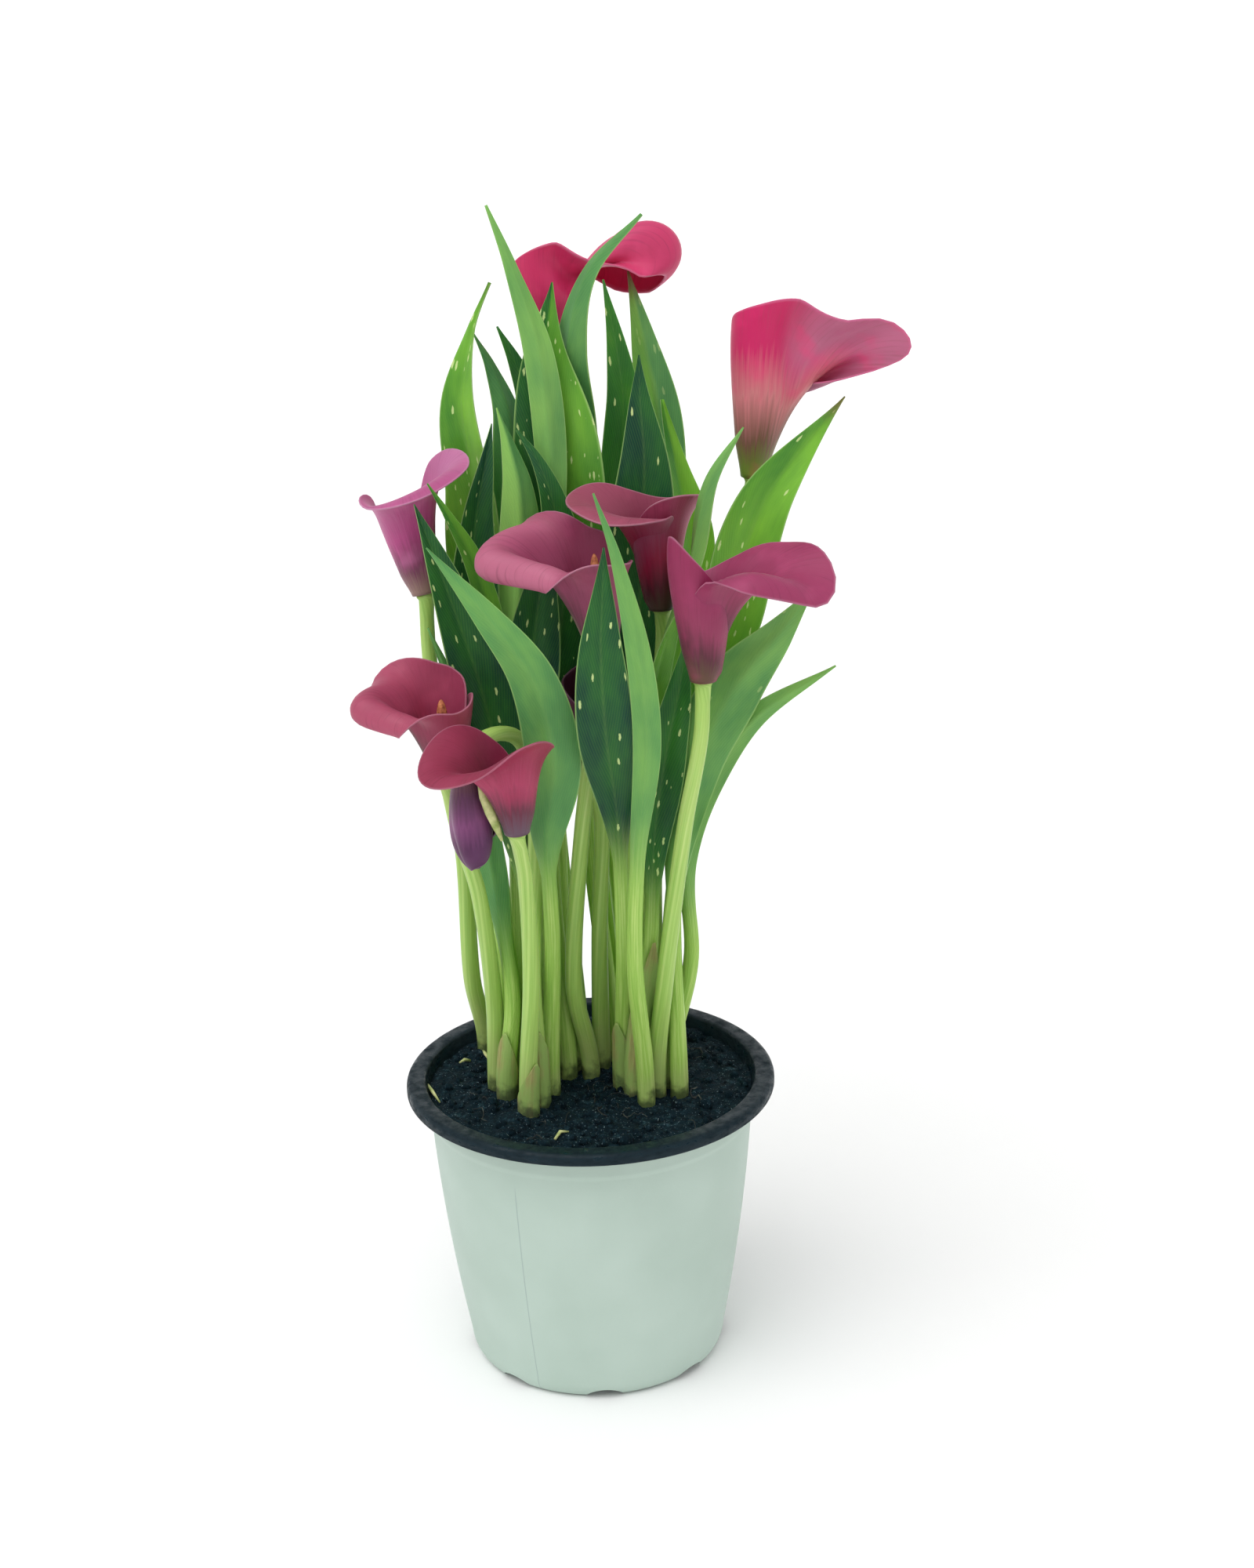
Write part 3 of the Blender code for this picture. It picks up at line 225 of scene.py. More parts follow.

# Leaves. foot: clump and its cell in steps to the right and to the back. path: points
# that the midrib passes, from above the soil to the tip. blade: share of the length
# where the blade starts, its width, and where along the blade it is widest. face: the
# way that the upper side looks at the blade's start and at its tip, in degrees from
# the viewer toward the right. fold and wave: how deep the midrib lies in the blade and
# how far its margins ripple. tones_and_light: how green the left and the right half are,
# from dark blue green at 0 to bright yellow green at 1, how many pale flecks there are,
# and how withered the tip is. The two halves' greens are partly painted light: painted
# backlight on a bright half and painted shade in a fold, beside each leaf's own tone.
LEAVES = {
    "leaf_01": dict(
        foot=("middle", 0, 0), blade=(0.58, 12, 0.45), face=(170, 215), fold=0.25, wave=0.4,
        path=[(-9, 12, 163), (-9, 13, 256), (-7, 10, 345), (-10, 10, 388), (-19, 12, 419),
              (-27, 15, 440)], tones_and_light=(0.75, 0.75, 0.0, 0.0)),
    "leaf_02": dict(
        foot=("back_left", 1, 0), blade=(0.5, 21, 0.42), face=(10, -60), fold=0.3, wave=0.8,
        path=[(-40, 31, 189), (-39, 28, 269), (-36, 25, 332), (-39, 24, 369), (-34, 25, 394),
              (-27, 26, 411)], tones_and_light=(0.75, 0.85, 0.6, 0.2)),
    "leaf_03": dict(
        foot=("middle", -2, 2), blade=(0.55, 17, 0.45), face=(200, 215), fold=0.35, wave=0.3,
        path=[(-19, 26, 190), (-20, 28, 283), (-22, 28, 360), (-28, 30, 380), (-34, 31, 392)],
        tones_and_light=(0.35, 0.35, 0.0, 0.0)),
    "leaf_04": dict(
        foot=("middle", 0, 2), blade=(0.55, 17, 0.5), face=(10, 20), fold=0.35, wave=0.3,
        path=[(-10, 31, 205), (-11, 39, 296), (-15, 41, 363), (-20, 42, 379), (-26, 43, 392)],
        tones_and_light=(0.30, 0.30, 0.0, 0.0)),
    "leaf_05": dict(
        foot=("middle", -1, 1), blade=(0.5, 34, 0.5), face=(0, -10), fold=0.2, wave=1.2,
        path=[(-11, 19, 191), (-8, 21, 260), (-5, 19, 317), (-5, 18, 353), (-8, 20, 385),
              (-5, 24, 411)], tones_and_light=(0.25, 0.70, 0.9, 0.0)),
    "leaf_06": dict(
        foot=("middle", 1, 1), blade=(0.55, 17, 0.4), face=(170, 120), fold=0.25, wave=0.4,
        path=[(2, 24, 206), (3, 28, 294), (1, 27, 360), (0, 20, 388), (8, 14, 416), (27, 12, 436)],
        tones_and_light=(0.50, 0.50, 0.0, 0.0)),
    "leaf_07": dict(
        foot=("back", 0, -1), blade=(0.5, 16, 0.5), face=(0, 10), fold=0.3, wave=0.5,
        path=[(10, 30, 220), (15, 31, 311), (19, 32, 363), (17, 32, 386), (13, 32, 410)],
        tones_and_light=(0.45, 0.45, 0.1, 0.0)),
    "leaf_08": dict(
        foot=("back", 1, 0), blade=(0.5, 19, 0.5), face=(160, 190), fold=0.45, wave=0.5,
        path=[(21, 36, 218), (30, 42, 308), (32, 45, 354), (27, 47, 386), (22, 48, 410)],
        tones_and_light=(0.50, 0.95, 0.2, 1.0)),
    "leaf_09": dict(
        foot=("right", -1, 1), blade=(0.42, 25, 0.55), face=(0, 0), fold=0.2, wave=0.6,
        path=[(17, 5, 213), (22, 8, 270), (24, 12, 316), (26, 14, 346), (25, 17, 371), (25, 20, 385)],
        tones_and_light=(0.10, 0.12, 0.3, 0.0)),
    "leaf_10": dict(
        foot=("right", 0, 2), blade=(0.5, 20, 0.4), face=(20, 30), fold=0.3, wave=0.8,
        path=[(25, 17, 208), (38, 26, 282), (42, 28, 314), (38, 30, 340), (33, 32, 366)],
        tones_and_light=(0.60, 0.95, 0.3, 0.0)),
    "leaf_11": dict(
        foot=("right", 0, 0), blade=(0.45, 13, 0.5), face=(-20, 170), fold=0.3, wave=0.4,
        path=[(23, -12, 188), (24, -16, 250), (31, -18, 289), (41, -22, 320), (48, -25, 349),
              (60, -24, 368)], tones_and_light=(0.70, 0.70, 0.0, 0.0)),
    "leaf_12": dict(
        foot=("right", 1, 1), blade=(0.4, 23, 0.55), face=(0, 0), fold=0.3, wave=1.2,
        path=[(33, -1, 185), (44, -4, 262), (55, -6, 294), (62, -6, 323), (71, -4, 342), (97, 2, 372)],
        tones_and_light=(0.72, 0.85, 0.5, 0.8)),
    "leaf_13": dict(
        foot=("right", 1, -1), blade=(0.35, 22, 0.6), face=(170, 170), fold=0.3, wave=1.4,
        path=[(33, -19, 192), (41, -27, 246), (55, -31, 276), (71, -30, 295), (84, -24, 310)],
        tones_and_light=(0.60, 0.65, 0.1, 0.0)),
    "leaf_14": dict(
        foot=("right", 1, 0), blade=(0.35, 11, 0.5), face=(180, 180), fold=0.3, wave=0.2,
        path=[(39, -8, 163), (38, -9, 202), (46, -16, 234), (62, -25, 262), (91, -33, 284)],
        tones_and_light=(0.70, 0.75, 0.0, 0.0)),
    "leaf_15": dict(
        foot=("right", 0, -2), blade=(0.42, 10, 0.4), face=(175, 175), fold=0.2, wave=0.3,
        path=[(18, -33, 172), (20, -45, 220), (24, -54, 263), (22, -57, 296), (15, -57, 332),
              (8, -55, 354)], tones_and_light=(0.60, 0.60, 0.0, 0.0)),
    "leaf_16": dict(
        foot=("right", -1, 0), blade=(0.45, 20, 0.5), face=(0, 0), fold=0.2, wave=0.5,
        path=[(14, -23, 176), (13, -38, 232), (10, -49, 265), (9, -52, 297), (10, -52, 316),
              (11, -51, 334)], tones_and_light=(0.08, 0.10, 0.2, 0.0)),
    "leaf_17": dict(
        foot=("front_left", 1, 0), blade=(0.4, 20, 0.35), face=(175, 190), fold=0.2, wave=0.7,
        path=[(-12, -22, 177), (-12, -37, 224), (-9, -47, 259), (-15, -49, 287), (-29, -47, 308),
              (-50, -38, 332)], tones_and_light=(0.50, 0.55, 0.0, 0.0)),
    "leaf_18": dict(
        foot=("front_left", 0, 0), blade=(0.35, 21, 0.5), face=(5, 30), fold=0.35, wave=0.6,
        path=[(-20, -12, 175), (-28, -14, 238), (-35, -15, 275), (-43, -14, 303), (-50, -15, 326),
              (-55, -17, 342)], tones_and_light=(0.12, 0.12, 0.3, 0.0)),
    "leaf_19": dict(
        foot=("front_left", 0, 1), blade=(0.5, 9, 0.5), face=(10, 20), fold=0.35, wave=0.4,
        path=[(-18, -3, 188), (-23, 0, 248), (-30, -1, 292), (-36, -5, 318), (-44, -12, 337),
              (-50, -16, 349)], tones_and_light=(0.55, 0.70, 0.6, 0.0)),
    "leaf_20": dict(
        foot=("front_left", -1, 2), blade=(0.5, 18, 0.45), face=(0, 30), fold=0.35, wave=0.5,
        path=[(-32, 3, 185), (-37, 6, 259), (-37, 7, 303), (-35, 8, 329), (-31, 9, 349), (-28, 9, 364)],
        tones_and_light=(0.10, 0.10, 0.8, 0.0)),
    "leaf_21": dict(
        foot=("front_left", 0, 2), blade=(0.55, 16, 0.5), face=(160, 210), fold=0.4, wave=0.4,
        path=[(-22, 4, 199), (-22, 7, 274), (-19, 7, 318), (-19, 7, 341), (-22, 9, 356),
              (-26, 12, 369)], tones_and_light=(0.60, 0.95, 0.2, 0.0)),
    "leaf_22": dict(
        foot=("middle", -1, -1), blade=(0.5, 17, 0.45), face=(0, 20), fold=0.25, wave=0.5,
        path=[(-12, 5, 197), (-7, 7, 275), (-4, 6, 310), (-7, 5, 336), (-12, 5, 351), (-19, 7, 362)],
        tones_and_light=(0.20, 0.20, 0.8, 0.0)),
    "leaf_23": dict(
        foot=("front_left", -1, 1), blade=(0.42, 22, 0.5), face=(0, 0), fold=0.2, wave=0.8,
        path=[(-25, -5, 186), (-23, -9, 247), (-17, -7, 277), (-13, -4, 302), (-10, -2, 319),
              (-7, -1, 331)], tones_and_light=(0.10, 0.10, 0.7, 0.0)),
    "leaf_24": dict(
        foot=("right", -1, -1), blade=(0.42, 15, 0.5), face=(0, 0), fold=0.3, wave=1.2,
        path=[(24, -18, 175), (26, -24, 216), (31, -27, 251), (36, -28, 275), (40, -26, 297)],
        tones_and_light=(0.25, 0.25, 0.7, 0.0)),
    "leaf_25": dict(
        foot=("front_left", -1, 0), blade=(0.3, 11, 0.35), face=(170, 180), fold=0.3, wave=0.5,
        path=[(-28, -12, 150), (-31, -12, 185), (-36, -11, 220), (-39, -10, 253), (-44, -9, 270),
              (-53, -7, 294)], tones_and_light=(0.50, 0.50, 0.0, 0.0)),
}

# Blooms. foot and path as for the leaves, up to the top of the stalk. axis: the way
# that the tube points there. lip: the way that the drawn-out tip of the spathe points.
# flare: how far the tube opens, in degrees. curl: how late the lip bends. roll: where
# its end starts to roll up, as a share of its length, and by how much. twist: degrees
# that the lip turns about its own middle. rim: the edge of the sheet, from the margin
# that lies inside to the outer one: degrees round the axis from the lip, length, and
# angle at the end.
BLOOMS = {
    "top": dict(
        foot=("back", 0, 0),
        path=[(6, 42, 199), (0, 46, 291), (-5, 47, 360), (-9, 47, 371)],
        axis=(0.02, 0, 1), lip=(1, 0, 0), flare=12, curl=1.3, roll=(0.5, 190), twist=30, spadix=26,
        rim=[(-235, 10, 8), (-205, 26, 5), (-165, 40, 3), (-120, 48, -2), (-75, 51, 10),
             (-42, 50, 38), (-18, 76, 60), (0, 97, 60), (18, 76, 60), (40, 50, 60), (80, 42, 40),
             (130, 38, 30), (160, 10, 8)],
    ),
    "right_high": dict(
        foot=("right", 1, 2),
        path=[(35, 14, 194), (50, 16, 270), (61, 15, 318), (65, 14, 340)],
        axis=(0.1, 0, 1), lip=(1, -0.1, 0.1), flare=9, curl=1.5, roll=(0.8, 0), twist=-80, spadix=30,
        rim=[(-240, 10, 8), (-215, 36, 5), (-180, 54, 0), (-130, 62, 0), (-90, 64, 5), (-55, 61, 22),
             (-22, 55, 68), (-10, 72, 84), (0, 77, 92), (10, 72, 88), (22, 54, 80), (45, 46, 60),
             (100, 38, 25), (135, 34, 10), (160, 10, 8)],
    ),
    "left": dict(
        foot=("back_left", 0, 0),
        path=[(-45, 27, 142), (-46, 23, 197), (-51, 15, 235), (-54, 9, 278), (-54, 6, 302)],
        axis=(-0.2, 0.17, 1), lip=(1, 0.3, 0), flare=10, curl=3.0, roll=(0.8, 0), twist=0, spadix=20,
        rim=[(-250, 10, 8), (-220, 24, 8), (-180, 39, 5), (-135, 44, 110), (-90, 50, 150),
             (-45, 55, 125), (-15, 52, 45), (0, 46, 10), (45, 32, 0), (90, 24, 10), (120, 20, 10),
             (155, 10, 8)],
    ),
    "middle_open": dict(
        foot=("middle", 0, -1),
        path=[(-5, -6, 153), (0, -16, 218), (6, -23, 262), (9, -25, 284)],
        axis=(-0.04, 0.04, 1), lip=(-1, -0.2, 0.1), flare=8, curl=1.2, roll=(0.62, 280), twist=0, spadix=34,
        rim=[(-200, 12, 8), (-165, 34, 15), (-130, 44, 12), (-90, 48, 18), (-60, 56, 32), (-30, 70, 62),
             (0, 82, 92), (20, 62, 85), (45, 47, 65), (90, 40, 38), (140, 38, 35), (180, 36, 25),
             (215, 26, 10), (240, 10, 8)],
    ),
    "middle_right": dict(
        foot=("right", 0, 1),
        path=[(26, 0, 199), (29, -5, 261), (31, -8, 288), (31, -10, 299)],
        axis=(-0.05, 0, 1), lip=(-1, -0.2, 0), flare=9, curl=2.4, roll=(0.8, 0), twist=0, spadix=20,
        rim=[(-350, 20, 8), (-325, 32, 8), (-290, 41, 12), (-250, 45, 30), (-215, 45, 55),
             (-180, 42, 60), (-120, 38, 25), (-60, 43, 32), (-20, 53, 75), (10, 56, 98),
             (45, 51, 130), (85, 44, 95), (115, 34, 20), (140, 16, 8)],
    ),
    "right": dict(
        foot=("right", 0, -1),
        path=[(29, -25, 163), (37, -39, 228), (43, -47, 264), (44, -48, 284)],
        axis=(0, 0, 1), lip=(1, -0.1, 0), flare=10, curl=1.5, roll=(0.8, 0), twist=0, spadix=24,
        rim=[(-140, 10, 8), (-115, 28, 10), (-85, 40, 40), (-55, 60, 165), (-25, 68, 165),
             (0, 64, 85), (25, 55, 75), (55, 43, 55), (100, 36, 35), (145, 42, 10), (185, 51, -8),
             (222, 53, -8), (265, 46, -4), (310, 35, 3), (345, 25, 8), (360, 14, 8)],
    ),
    "left_low": dict(
        foot=("front_left", -2, 1),
        path=[(-35, -9, 148), (-38, -27, 199), (-44, -34, 227), (-47, -36, 246)],
        axis=(-0.02, 0.0, 1), lip=(-1, -0.3, 0.1), flare=12, curl=1.2, roll=(0.55, 290), twist=0, spadix=24,
        rim=[(-205, 10, 8), (-170, 32, 5), (-135, 38, 0), (-90, 41, 0), (-50, 46, 28), (-25, 55, 60),
             (0, 63, 78), (20, 48, 75), (45, 36, 50), (90, 29, 28), (135, 29, 10), (180, 31, 3),
             (215, 24, 5), (240, 8, 8)],
    ),
    "left_front": dict(
        foot=("front_left", 0, -2),
        path=[(-20, -34, 166), (-20, -48, 212), (-22, -60, 234)],
        axis=(-0.06, -0.02, 1), lip=(-1, -0.5, 0), flare=11, curl=1.6, roll=(0.6, 30), twist=0, spadix=14,
        rim=[(-150, 8, 8), (-120, 24, 8), (-80, 34, 18), (-40, 44, 60), (0, 47, 95), (40, 42, 120),
             (80, 43, 75), (120, 38, 45), (160, 32, 55), (195, 24, 20), (225, 8, 8)],
    ),
    "shaded": dict(
        foot=("middle", 1, 0),
        path=[(5, 4, 167), (7, 0, 215), (5, -4, 232), (5, -5, 238)],
        axis=(-0.05, 0.0, 1), lip=(0.2, 1, 0), flare=11, curl=4.0, roll=(0.8, 0), twist=0, spadix=22,
        rim=[(-160, 10, 8), (-120, 30, -10), (-60, 35, -12), (0, 38, -10), (60, 35, -12),
             (120, 32, -12), (180, 24, -8), (225, 10, 8)],
    ),
    "drooping": dict(
        foot=("front_left", 0, -1),
        path=[(-20, -21, 162), (-17, -20, 208), (-17, -21, 242), (-22, -31, 260),
              (-33, -46, 265), (-39, -53, 257)],
        axis=(0.08, -0.02, -1), lip=(-1, -0.3, 0), flare=13, curl=2.0, roll=(0.8, 0), twist=0, spadix=12,
        rim=[(-160, 10, 8), (-120, 30, -25), (-60, 36, -45), (0, 39, -50), (60, 37, -50),
             (120, 32, -45), (180, 24, -20), (225, 10, 8)],
    ),
}

# Colours of each spathe, as a screen shows them: outside at its rim, half way down and
# at its tube, inside at its rim and in its throat, and the drawn-out lip.
SPATHE_COLOURS = {
    "top": ((206, 46, 100), (196, 36, 90), (120, 110, 60), (206, 66, 114), (120, 25, 60), (204, 60, 106)),
    "right_high": ((204, 30, 98), (212, 128, 132), (120, 146, 54), (160, 60, 104), (110, 40, 70),
                   (182, 110, 140)),
    "left": ((192, 104, 152), (188, 80, 140), (150, 120, 110), (180, 84, 136), (120, 44, 90),
             (196, 122, 164)),
    "middle_open": ((176, 88, 120), (176, 88, 122), (170, 150, 130), (156, 66, 100), (80, 24, 46),
                    (200, 114, 142)),
    "middle_right": ((150, 62, 92), (146, 22, 62), (78, 56, 46), (150, 66, 92), (90, 20, 45),
                     (156, 74, 98)),
    "right": ((148, 46, 88), (150, 56, 92), (96, 72, 52), (152, 56, 96), (90, 25, 60), (154, 56, 96)),
    "left_low": ((160, 60, 90), (152, 52, 84), (110, 90, 70), (160, 62, 92), (90, 25, 45), (178, 84, 110)),
    "left_front": ((150, 36, 72), (176, 62, 98), (104, 80, 96), (130, 36, 66), (80, 20, 40),
                   (146, 46, 76)),
    # The shaded bloom's colours are darkened all over as painted shade, for the deep shade it stands in.
    "shaded": ((85, 35, 60), (75, 32, 52), (60, 45, 40), (60, 25, 45), (40, 15, 30), (85, 35, 60)),
    "drooping": ((86, 42, 82), (134, 74, 122), (120, 80, 90), (80, 36, 66), (60, 25, 45),
                 (92, 46, 86)),
}

# Every stem in the soil by its name, leaf or stalk
STEMS = {**LEAVES, **{f"stalk_{name}": spec for name, spec in BLOOMS.items()}}

# Withered sheaths: the stem, the way the tall side looks, its top, and how far it spreads
SHEATHS = (
    ("leaf_19", -10, 158, 0.6),
    ("leaf_25", -30, 138, 0.4),
    ("stalk_drooping", 20, 142, 0.5),
    ("leaf_24", 15, 176, 0.8),
    ("stalk_left_front", 40, 132, 0.5),
    ("leaf_16", -35, 140, 0.4),
)

# Pale sprouts and straws on the soil: each one's three places, seen from above
STRAWS = (
    ((-47, 22), (-49, 20), (-51, 19)),
    ((-39, 19), (-41, 22), (-42, 26)),
    ((-13, -49), (-11, -46), (-8, -44)),
    ((-62, -1), (-60, -7), (-57, -12)),
)
STRAW_LIFTS = (0.5, 1.6, 0.8)
STRAW_RADII = (0.5, 0.7, 0.3)

# The pale margin of the drooping bloom, where it shows beside the left front one
DROOPING_MARGIN = ((-34.4, -59.5, 255), (-32.8, -61, 249), (-30.8, -62, 243.5), (-28.8, -62, 238),
                   (-27.2, -61, 232.5))
MARGIN_RADII = (0.7, 1.7, 1.9, 1.5, 0.5)


def smooth(low, high, value):
    """0 below low, 1 above high, and an S curve between them."""
    share = min(max((value - low) / (high - low), 0.0), 1.0)
    return share * share * (3.0 - 2.0 * share)


def mix(a, b, share):
    """The value at a share of the way from a to b."""
    return a + (b - a) * share


def srgb(colour):
    """A screen colour, three numbers up to 255, as the linear colour that a shader takes."""
    linear = []
    for value in colour:
        share = value / 255
        linear.append(share / 12.92 if share < 0.04045 else ((share + 0.055) / 1.055) ** 2.4)
    return (*linear, 1.0)


class Paint:
    """A material round one Principled shader, with short ways to feed it."""

    def __init__(self, name, **values):
        self.material = bpy.data.materials.new(name)
        self.material.use_nodes = True
        self.tree = self.material.node_tree
        self.shader = self.tree.nodes["Principled BSDF"]
        for key, value in values.items():
            self.set(key.replace("_", " ").title().replace("Ior", "IOR"), value)

    def set(self, socket, value):
        self.feed(self.shader.inputs[socket], value)

    def feed(self, socket, value):
        """Joins a socket to another one, or sets it to a plain value."""
        if isinstance(value, bpy.types.NodeSocket):
            self.tree.links.new(value, socket)
        else:
            socket.default_value = value

    def node(self, kind, *values, **settings):
        """A new node with its settings, its inputs fed in order."""
        made = self.tree.nodes.new(kind)
        for key, value in settings.items():
            setattr(made, key, value)
        for socket, value in zip(made.inputs, values):
            self.feed(socket, value)
        return made

    def uv(self, layer):
        return self.node("ShaderNodeUVMap", uv_map=layer).outputs["UV"]

    def here(self):
        """The place on the plant, in metres."""
        return self.node("ShaderNodeTexCoord").outputs["Object"]

    def axes(self, vector):
        return self.node("ShaderNodeSeparateXYZ", vector).outputs

    def stretch(self, vector, *scale):
        return self.node("ShaderNodeVectorMath", vector, scale, operation="MULTIPLY").outputs[0]

    def calc(self, operation, *values):
        return self.node("ShaderNodeMath", *values, operation=operation).outputs[0]

    def plus(self, a, b):
        return self.calc("ADD", a, b)

    def minus(self, a, b):
        return self.calc("SUBTRACT", a, b)

    def times(self, a, b):
        return self.calc("MULTIPLY", a, b)

    def apart(self, a, b):
        return self.calc("ABSOLUTE", self.minus(a, b))

    def step(self, value, low, high):
        """0 below low and 1 above high, or the other way round if low is the larger."""
        ends = (low, high, 0.0, 1.0) if low < high else (high, low, 1.0, 0.0)
        made = self.node("ShaderNodeMapRange", value, *ends, interpolation_type="SMOOTHSTEP")
        return made.outputs["Result"]

    def mixed(self, share, a, b):
        made = self.node("ShaderNodeMix", share, data_type="RGBA")
        self.feed(made.inputs[6], a)
        self.feed(made.inputs[7], b)
        return made.outputs[2]

    def tinted(self, colour, share, amount, tint):
        """A colour with another one mixed in, by a share times an amount."""
        return self.mixed(self.times(share, amount), colour, srgb(tint))

    def ramp(self, value, *stops):
        made = self.node("ShaderNodeValToRGB", value)
        elements = made.color_ramp.elements
        while len(elements) < len(stops):
            elements.new(0.5)
        for element, (place, colour) in zip(elements, stops):
            element.position = place
            element.color = srgb(colour)
        return made.outputs["Color"]

    def noise(self, vector, scale, detail=3.0, roughness=0.5):
        return self.node("ShaderNodeTexNoise", vector, 0.0, scale, detail, roughness).outputs["Fac"]

    def cells(self, vector):
        """Distance to the nearest of scattered points on a plane, and a random number for each."""
        made = self.node("ShaderNodeTexVoronoi", vector, 0.0, 1.0, voronoi_dimensions="2D")
        return made.outputs["Distance"], self.axes(made.outputs["Color"])[0]

    def mark(self):
        """The four numbers that the mesh carries."""
        made = self.node("ShaderNodeAttribute", attribute_name="mark")
        return (*self.axes(made.outputs["Vector"]), made.outputs["Alpha"])

    def finished(self, colour, height=None, strength=0.0, distance=0.0):
        """The material with its colour and, where a height is given, its bumps."""
        self.set("Base Color", colour)
        if height:
            made = self.node("ShaderNodeBump", strength, distance)
            self.feed(made.inputs["Height"], height)
            self.set("Normal", made.outputs["Normal"])
        return self.material


def darkened_near_soil(paint, colour):
    """The colour of a stem, darker in uneven patches toward where it meets the soil."""
    _, _, z = paint.axes(paint.here())
    patch = paint.minus(paint.noise(paint.here(), 240.0, 3.0), 0.5)
    height = paint.plus(z, paint.times(patch, 0.016))
    near_soil = paint.step(height, (SOIL_Z + FOOT_DARK_HIGH) * MM, (SOIL_Z + 1.0) * MM)
    return paint.tinted(colour, near_soil, 0.82, STEM_FOOT_DARK)


def streaks(paint, vector, across, along, detail=3.0):
    """Noise drawn out along the second axis of a UV layer."""
    return paint.noise(paint.stretch(vector, across, along, 1.0), 1.0, detail, 0.6)


def leaf_veins(paint, across, along, cloud):
    """Fine veins that slant from the midrib to the margins."""
    slant = paint.minus(paint.times(paint.apart(across, 0.5), 100.0), paint.times(along, 22.0))
    wave = paint.calc("SINE", paint.plus(paint.times(slant, 7.4), paint.times(cloud, 7.0)))
    return paint.step(wave, -0.3, 1.0)


def leaf_flecks(paint, size, share):
    """Short ragged dashes in some of many cells, in more of them where the share is high."""
    far, chance = paint.cells(paint.stretch(size, 62.0, 17.0, 1.0))
    ragged = paint.minus(streaks(paint, size, 220.0, 90.0), 0.5)
    far = paint.plus(far, paint.plus(paint.times(ragged, 0.35), chance))
    shown = paint.calc("LESS_THAN", chance, paint.times(share, 0.33))
    return paint.times(paint.step(far, 0.34, 0.24), shown)


def leaf_paint(name, greens, roughness, fleck):
    """Blade and petiole in one: tone with painted light and shade, flecks, petiole and withered tip come
    with the mesh.
    """
    paint = Paint(name, roughness=roughness, specular_ior_level=0.22, subsurface_weight=0.06,
                  subsurface_scale=0.002)
    paint.set("Subsurface Radius", (0.5, 1.0, 0.25))
    size = paint.uv("UVMap")
    across, along, _ = paint.axes(size)
    off = paint.apart(paint.axes(paint.uv("share"))[0], 0.5)
    tone_and_light, flecks, petiole, withered = paint.mark()
    cloud = streaks(paint, size, 7.0, 2.2)
    fine = streaks(paint, size, 150.0, 3.0)
    veins = leaf_veins(paint, across, along, cloud)

    # The tone carries painted backlight and painted fold shade; the cloud adds the leaf's own blotches.
    blotched_tone_and_light = paint.plus(tone_and_light, paint.times(paint.minus(cloud, 0.5), 0.9))
    green = paint.ramp(blotched_tone_and_light, *zip((0.0, 0.5, 1.0), greens))
    green = paint.tinted(green, veins, 0.07, greens[2])
    green = paint.tinted(green, fine, 0.22, greens[0])
    green = paint.tinted(green, paint.step(off, 0.05, 0.0), 0.1, LEAF_RIB)
    # Painted highlight along the blade's margins.
    green = paint.tinted(green, paint.step(off, 0.465, 0.494), 0.7, LEAF_MARGIN_HIGHLIGHT)
    green = paint.tinted(green, leaf_flecks(paint, size, flecks), fleck, LEAF_FLECK)

    foot = paint.step(paint.plus(along, paint.times(cloud, 0.5)), 0.42, 0.22)
    pale = paint.tinted(paint.ramp(fine, *PETIOLE_RAMP), foot, 0.4, PETIOLE_FOOT)
    colour = paint.mixed(withered, paint.mixed(petiole, green, pale), srgb(LEAF_WITHERED))
    return paint.finished(darkened_near_soil(paint, colour), paint.plus(paint.times(veins, 0.6), fine), 0.16, 0.0004)


def spathe_paint(name, rim, middle, base, lip, roughness):
    """One face of a spathe: its colour runs from tube to rim in streaks between the veins."""
    paint = Paint(name, roughness=roughness, specular_ior_level=0.3, subsurface_weight=0.15,
                  subsurface_scale=0.003, sheen_weight=0.08, sheen_roughness=0.4)
    paint.set("Subsurface Radius", (1.0, 0.3, 0.5))
    paint.set("Sheen Tint", (1.0, 0.75, 0.85, 1.0))
    place = paint.uv("share")
    turn, up, _ = paint.axes(place)
    broad = streaks(paint, place, 107.0, 1.6)
    fine = streaks(paint, place, 460.0, 2.5, 4.0)
    cloud = paint.noise(paint.here(), 90.0, 2.0)
    deep = tuple(0.6 * value for value in middle)
    neck = tuple(mix(a, b, 0.8) for a, b in zip(base, deep))
    light = tuple(min(255, 1.12 * value + 12) for value in rim)
    edge = tuple(0.6 * value + 88 for value in rim)

    drawn = paint.plus(up, paint.times(paint.minus(broad, 0.5), 0.35))
    body = paint.ramp(drawn, (0.04, base), (0.24, neck), (0.5, middle), (0.76, rim))
    on_lip = paint.times(paint.step(paint.apart(turn, 0.5), 0.1, 0.03), paint.step(up, 0.55, 0.85))
    body = paint.tinted(body, on_lip, 0.85, lip)
    body = paint.mixed(paint.step(fine, 0.5, 0.75), body, paint.mixed(0.35, body, srgb(deep)))
    body = paint.tinted(body, paint.step(cloud, 0.5, 0.8), 0.4, light)
    body = paint.tinted(body, paint.step(up, 0.985, 0.998), 0.6, edge)
    return paint.finished(body, paint.plus(fine, paint.times(broad, 0.5)), 0.18, 0.0006)


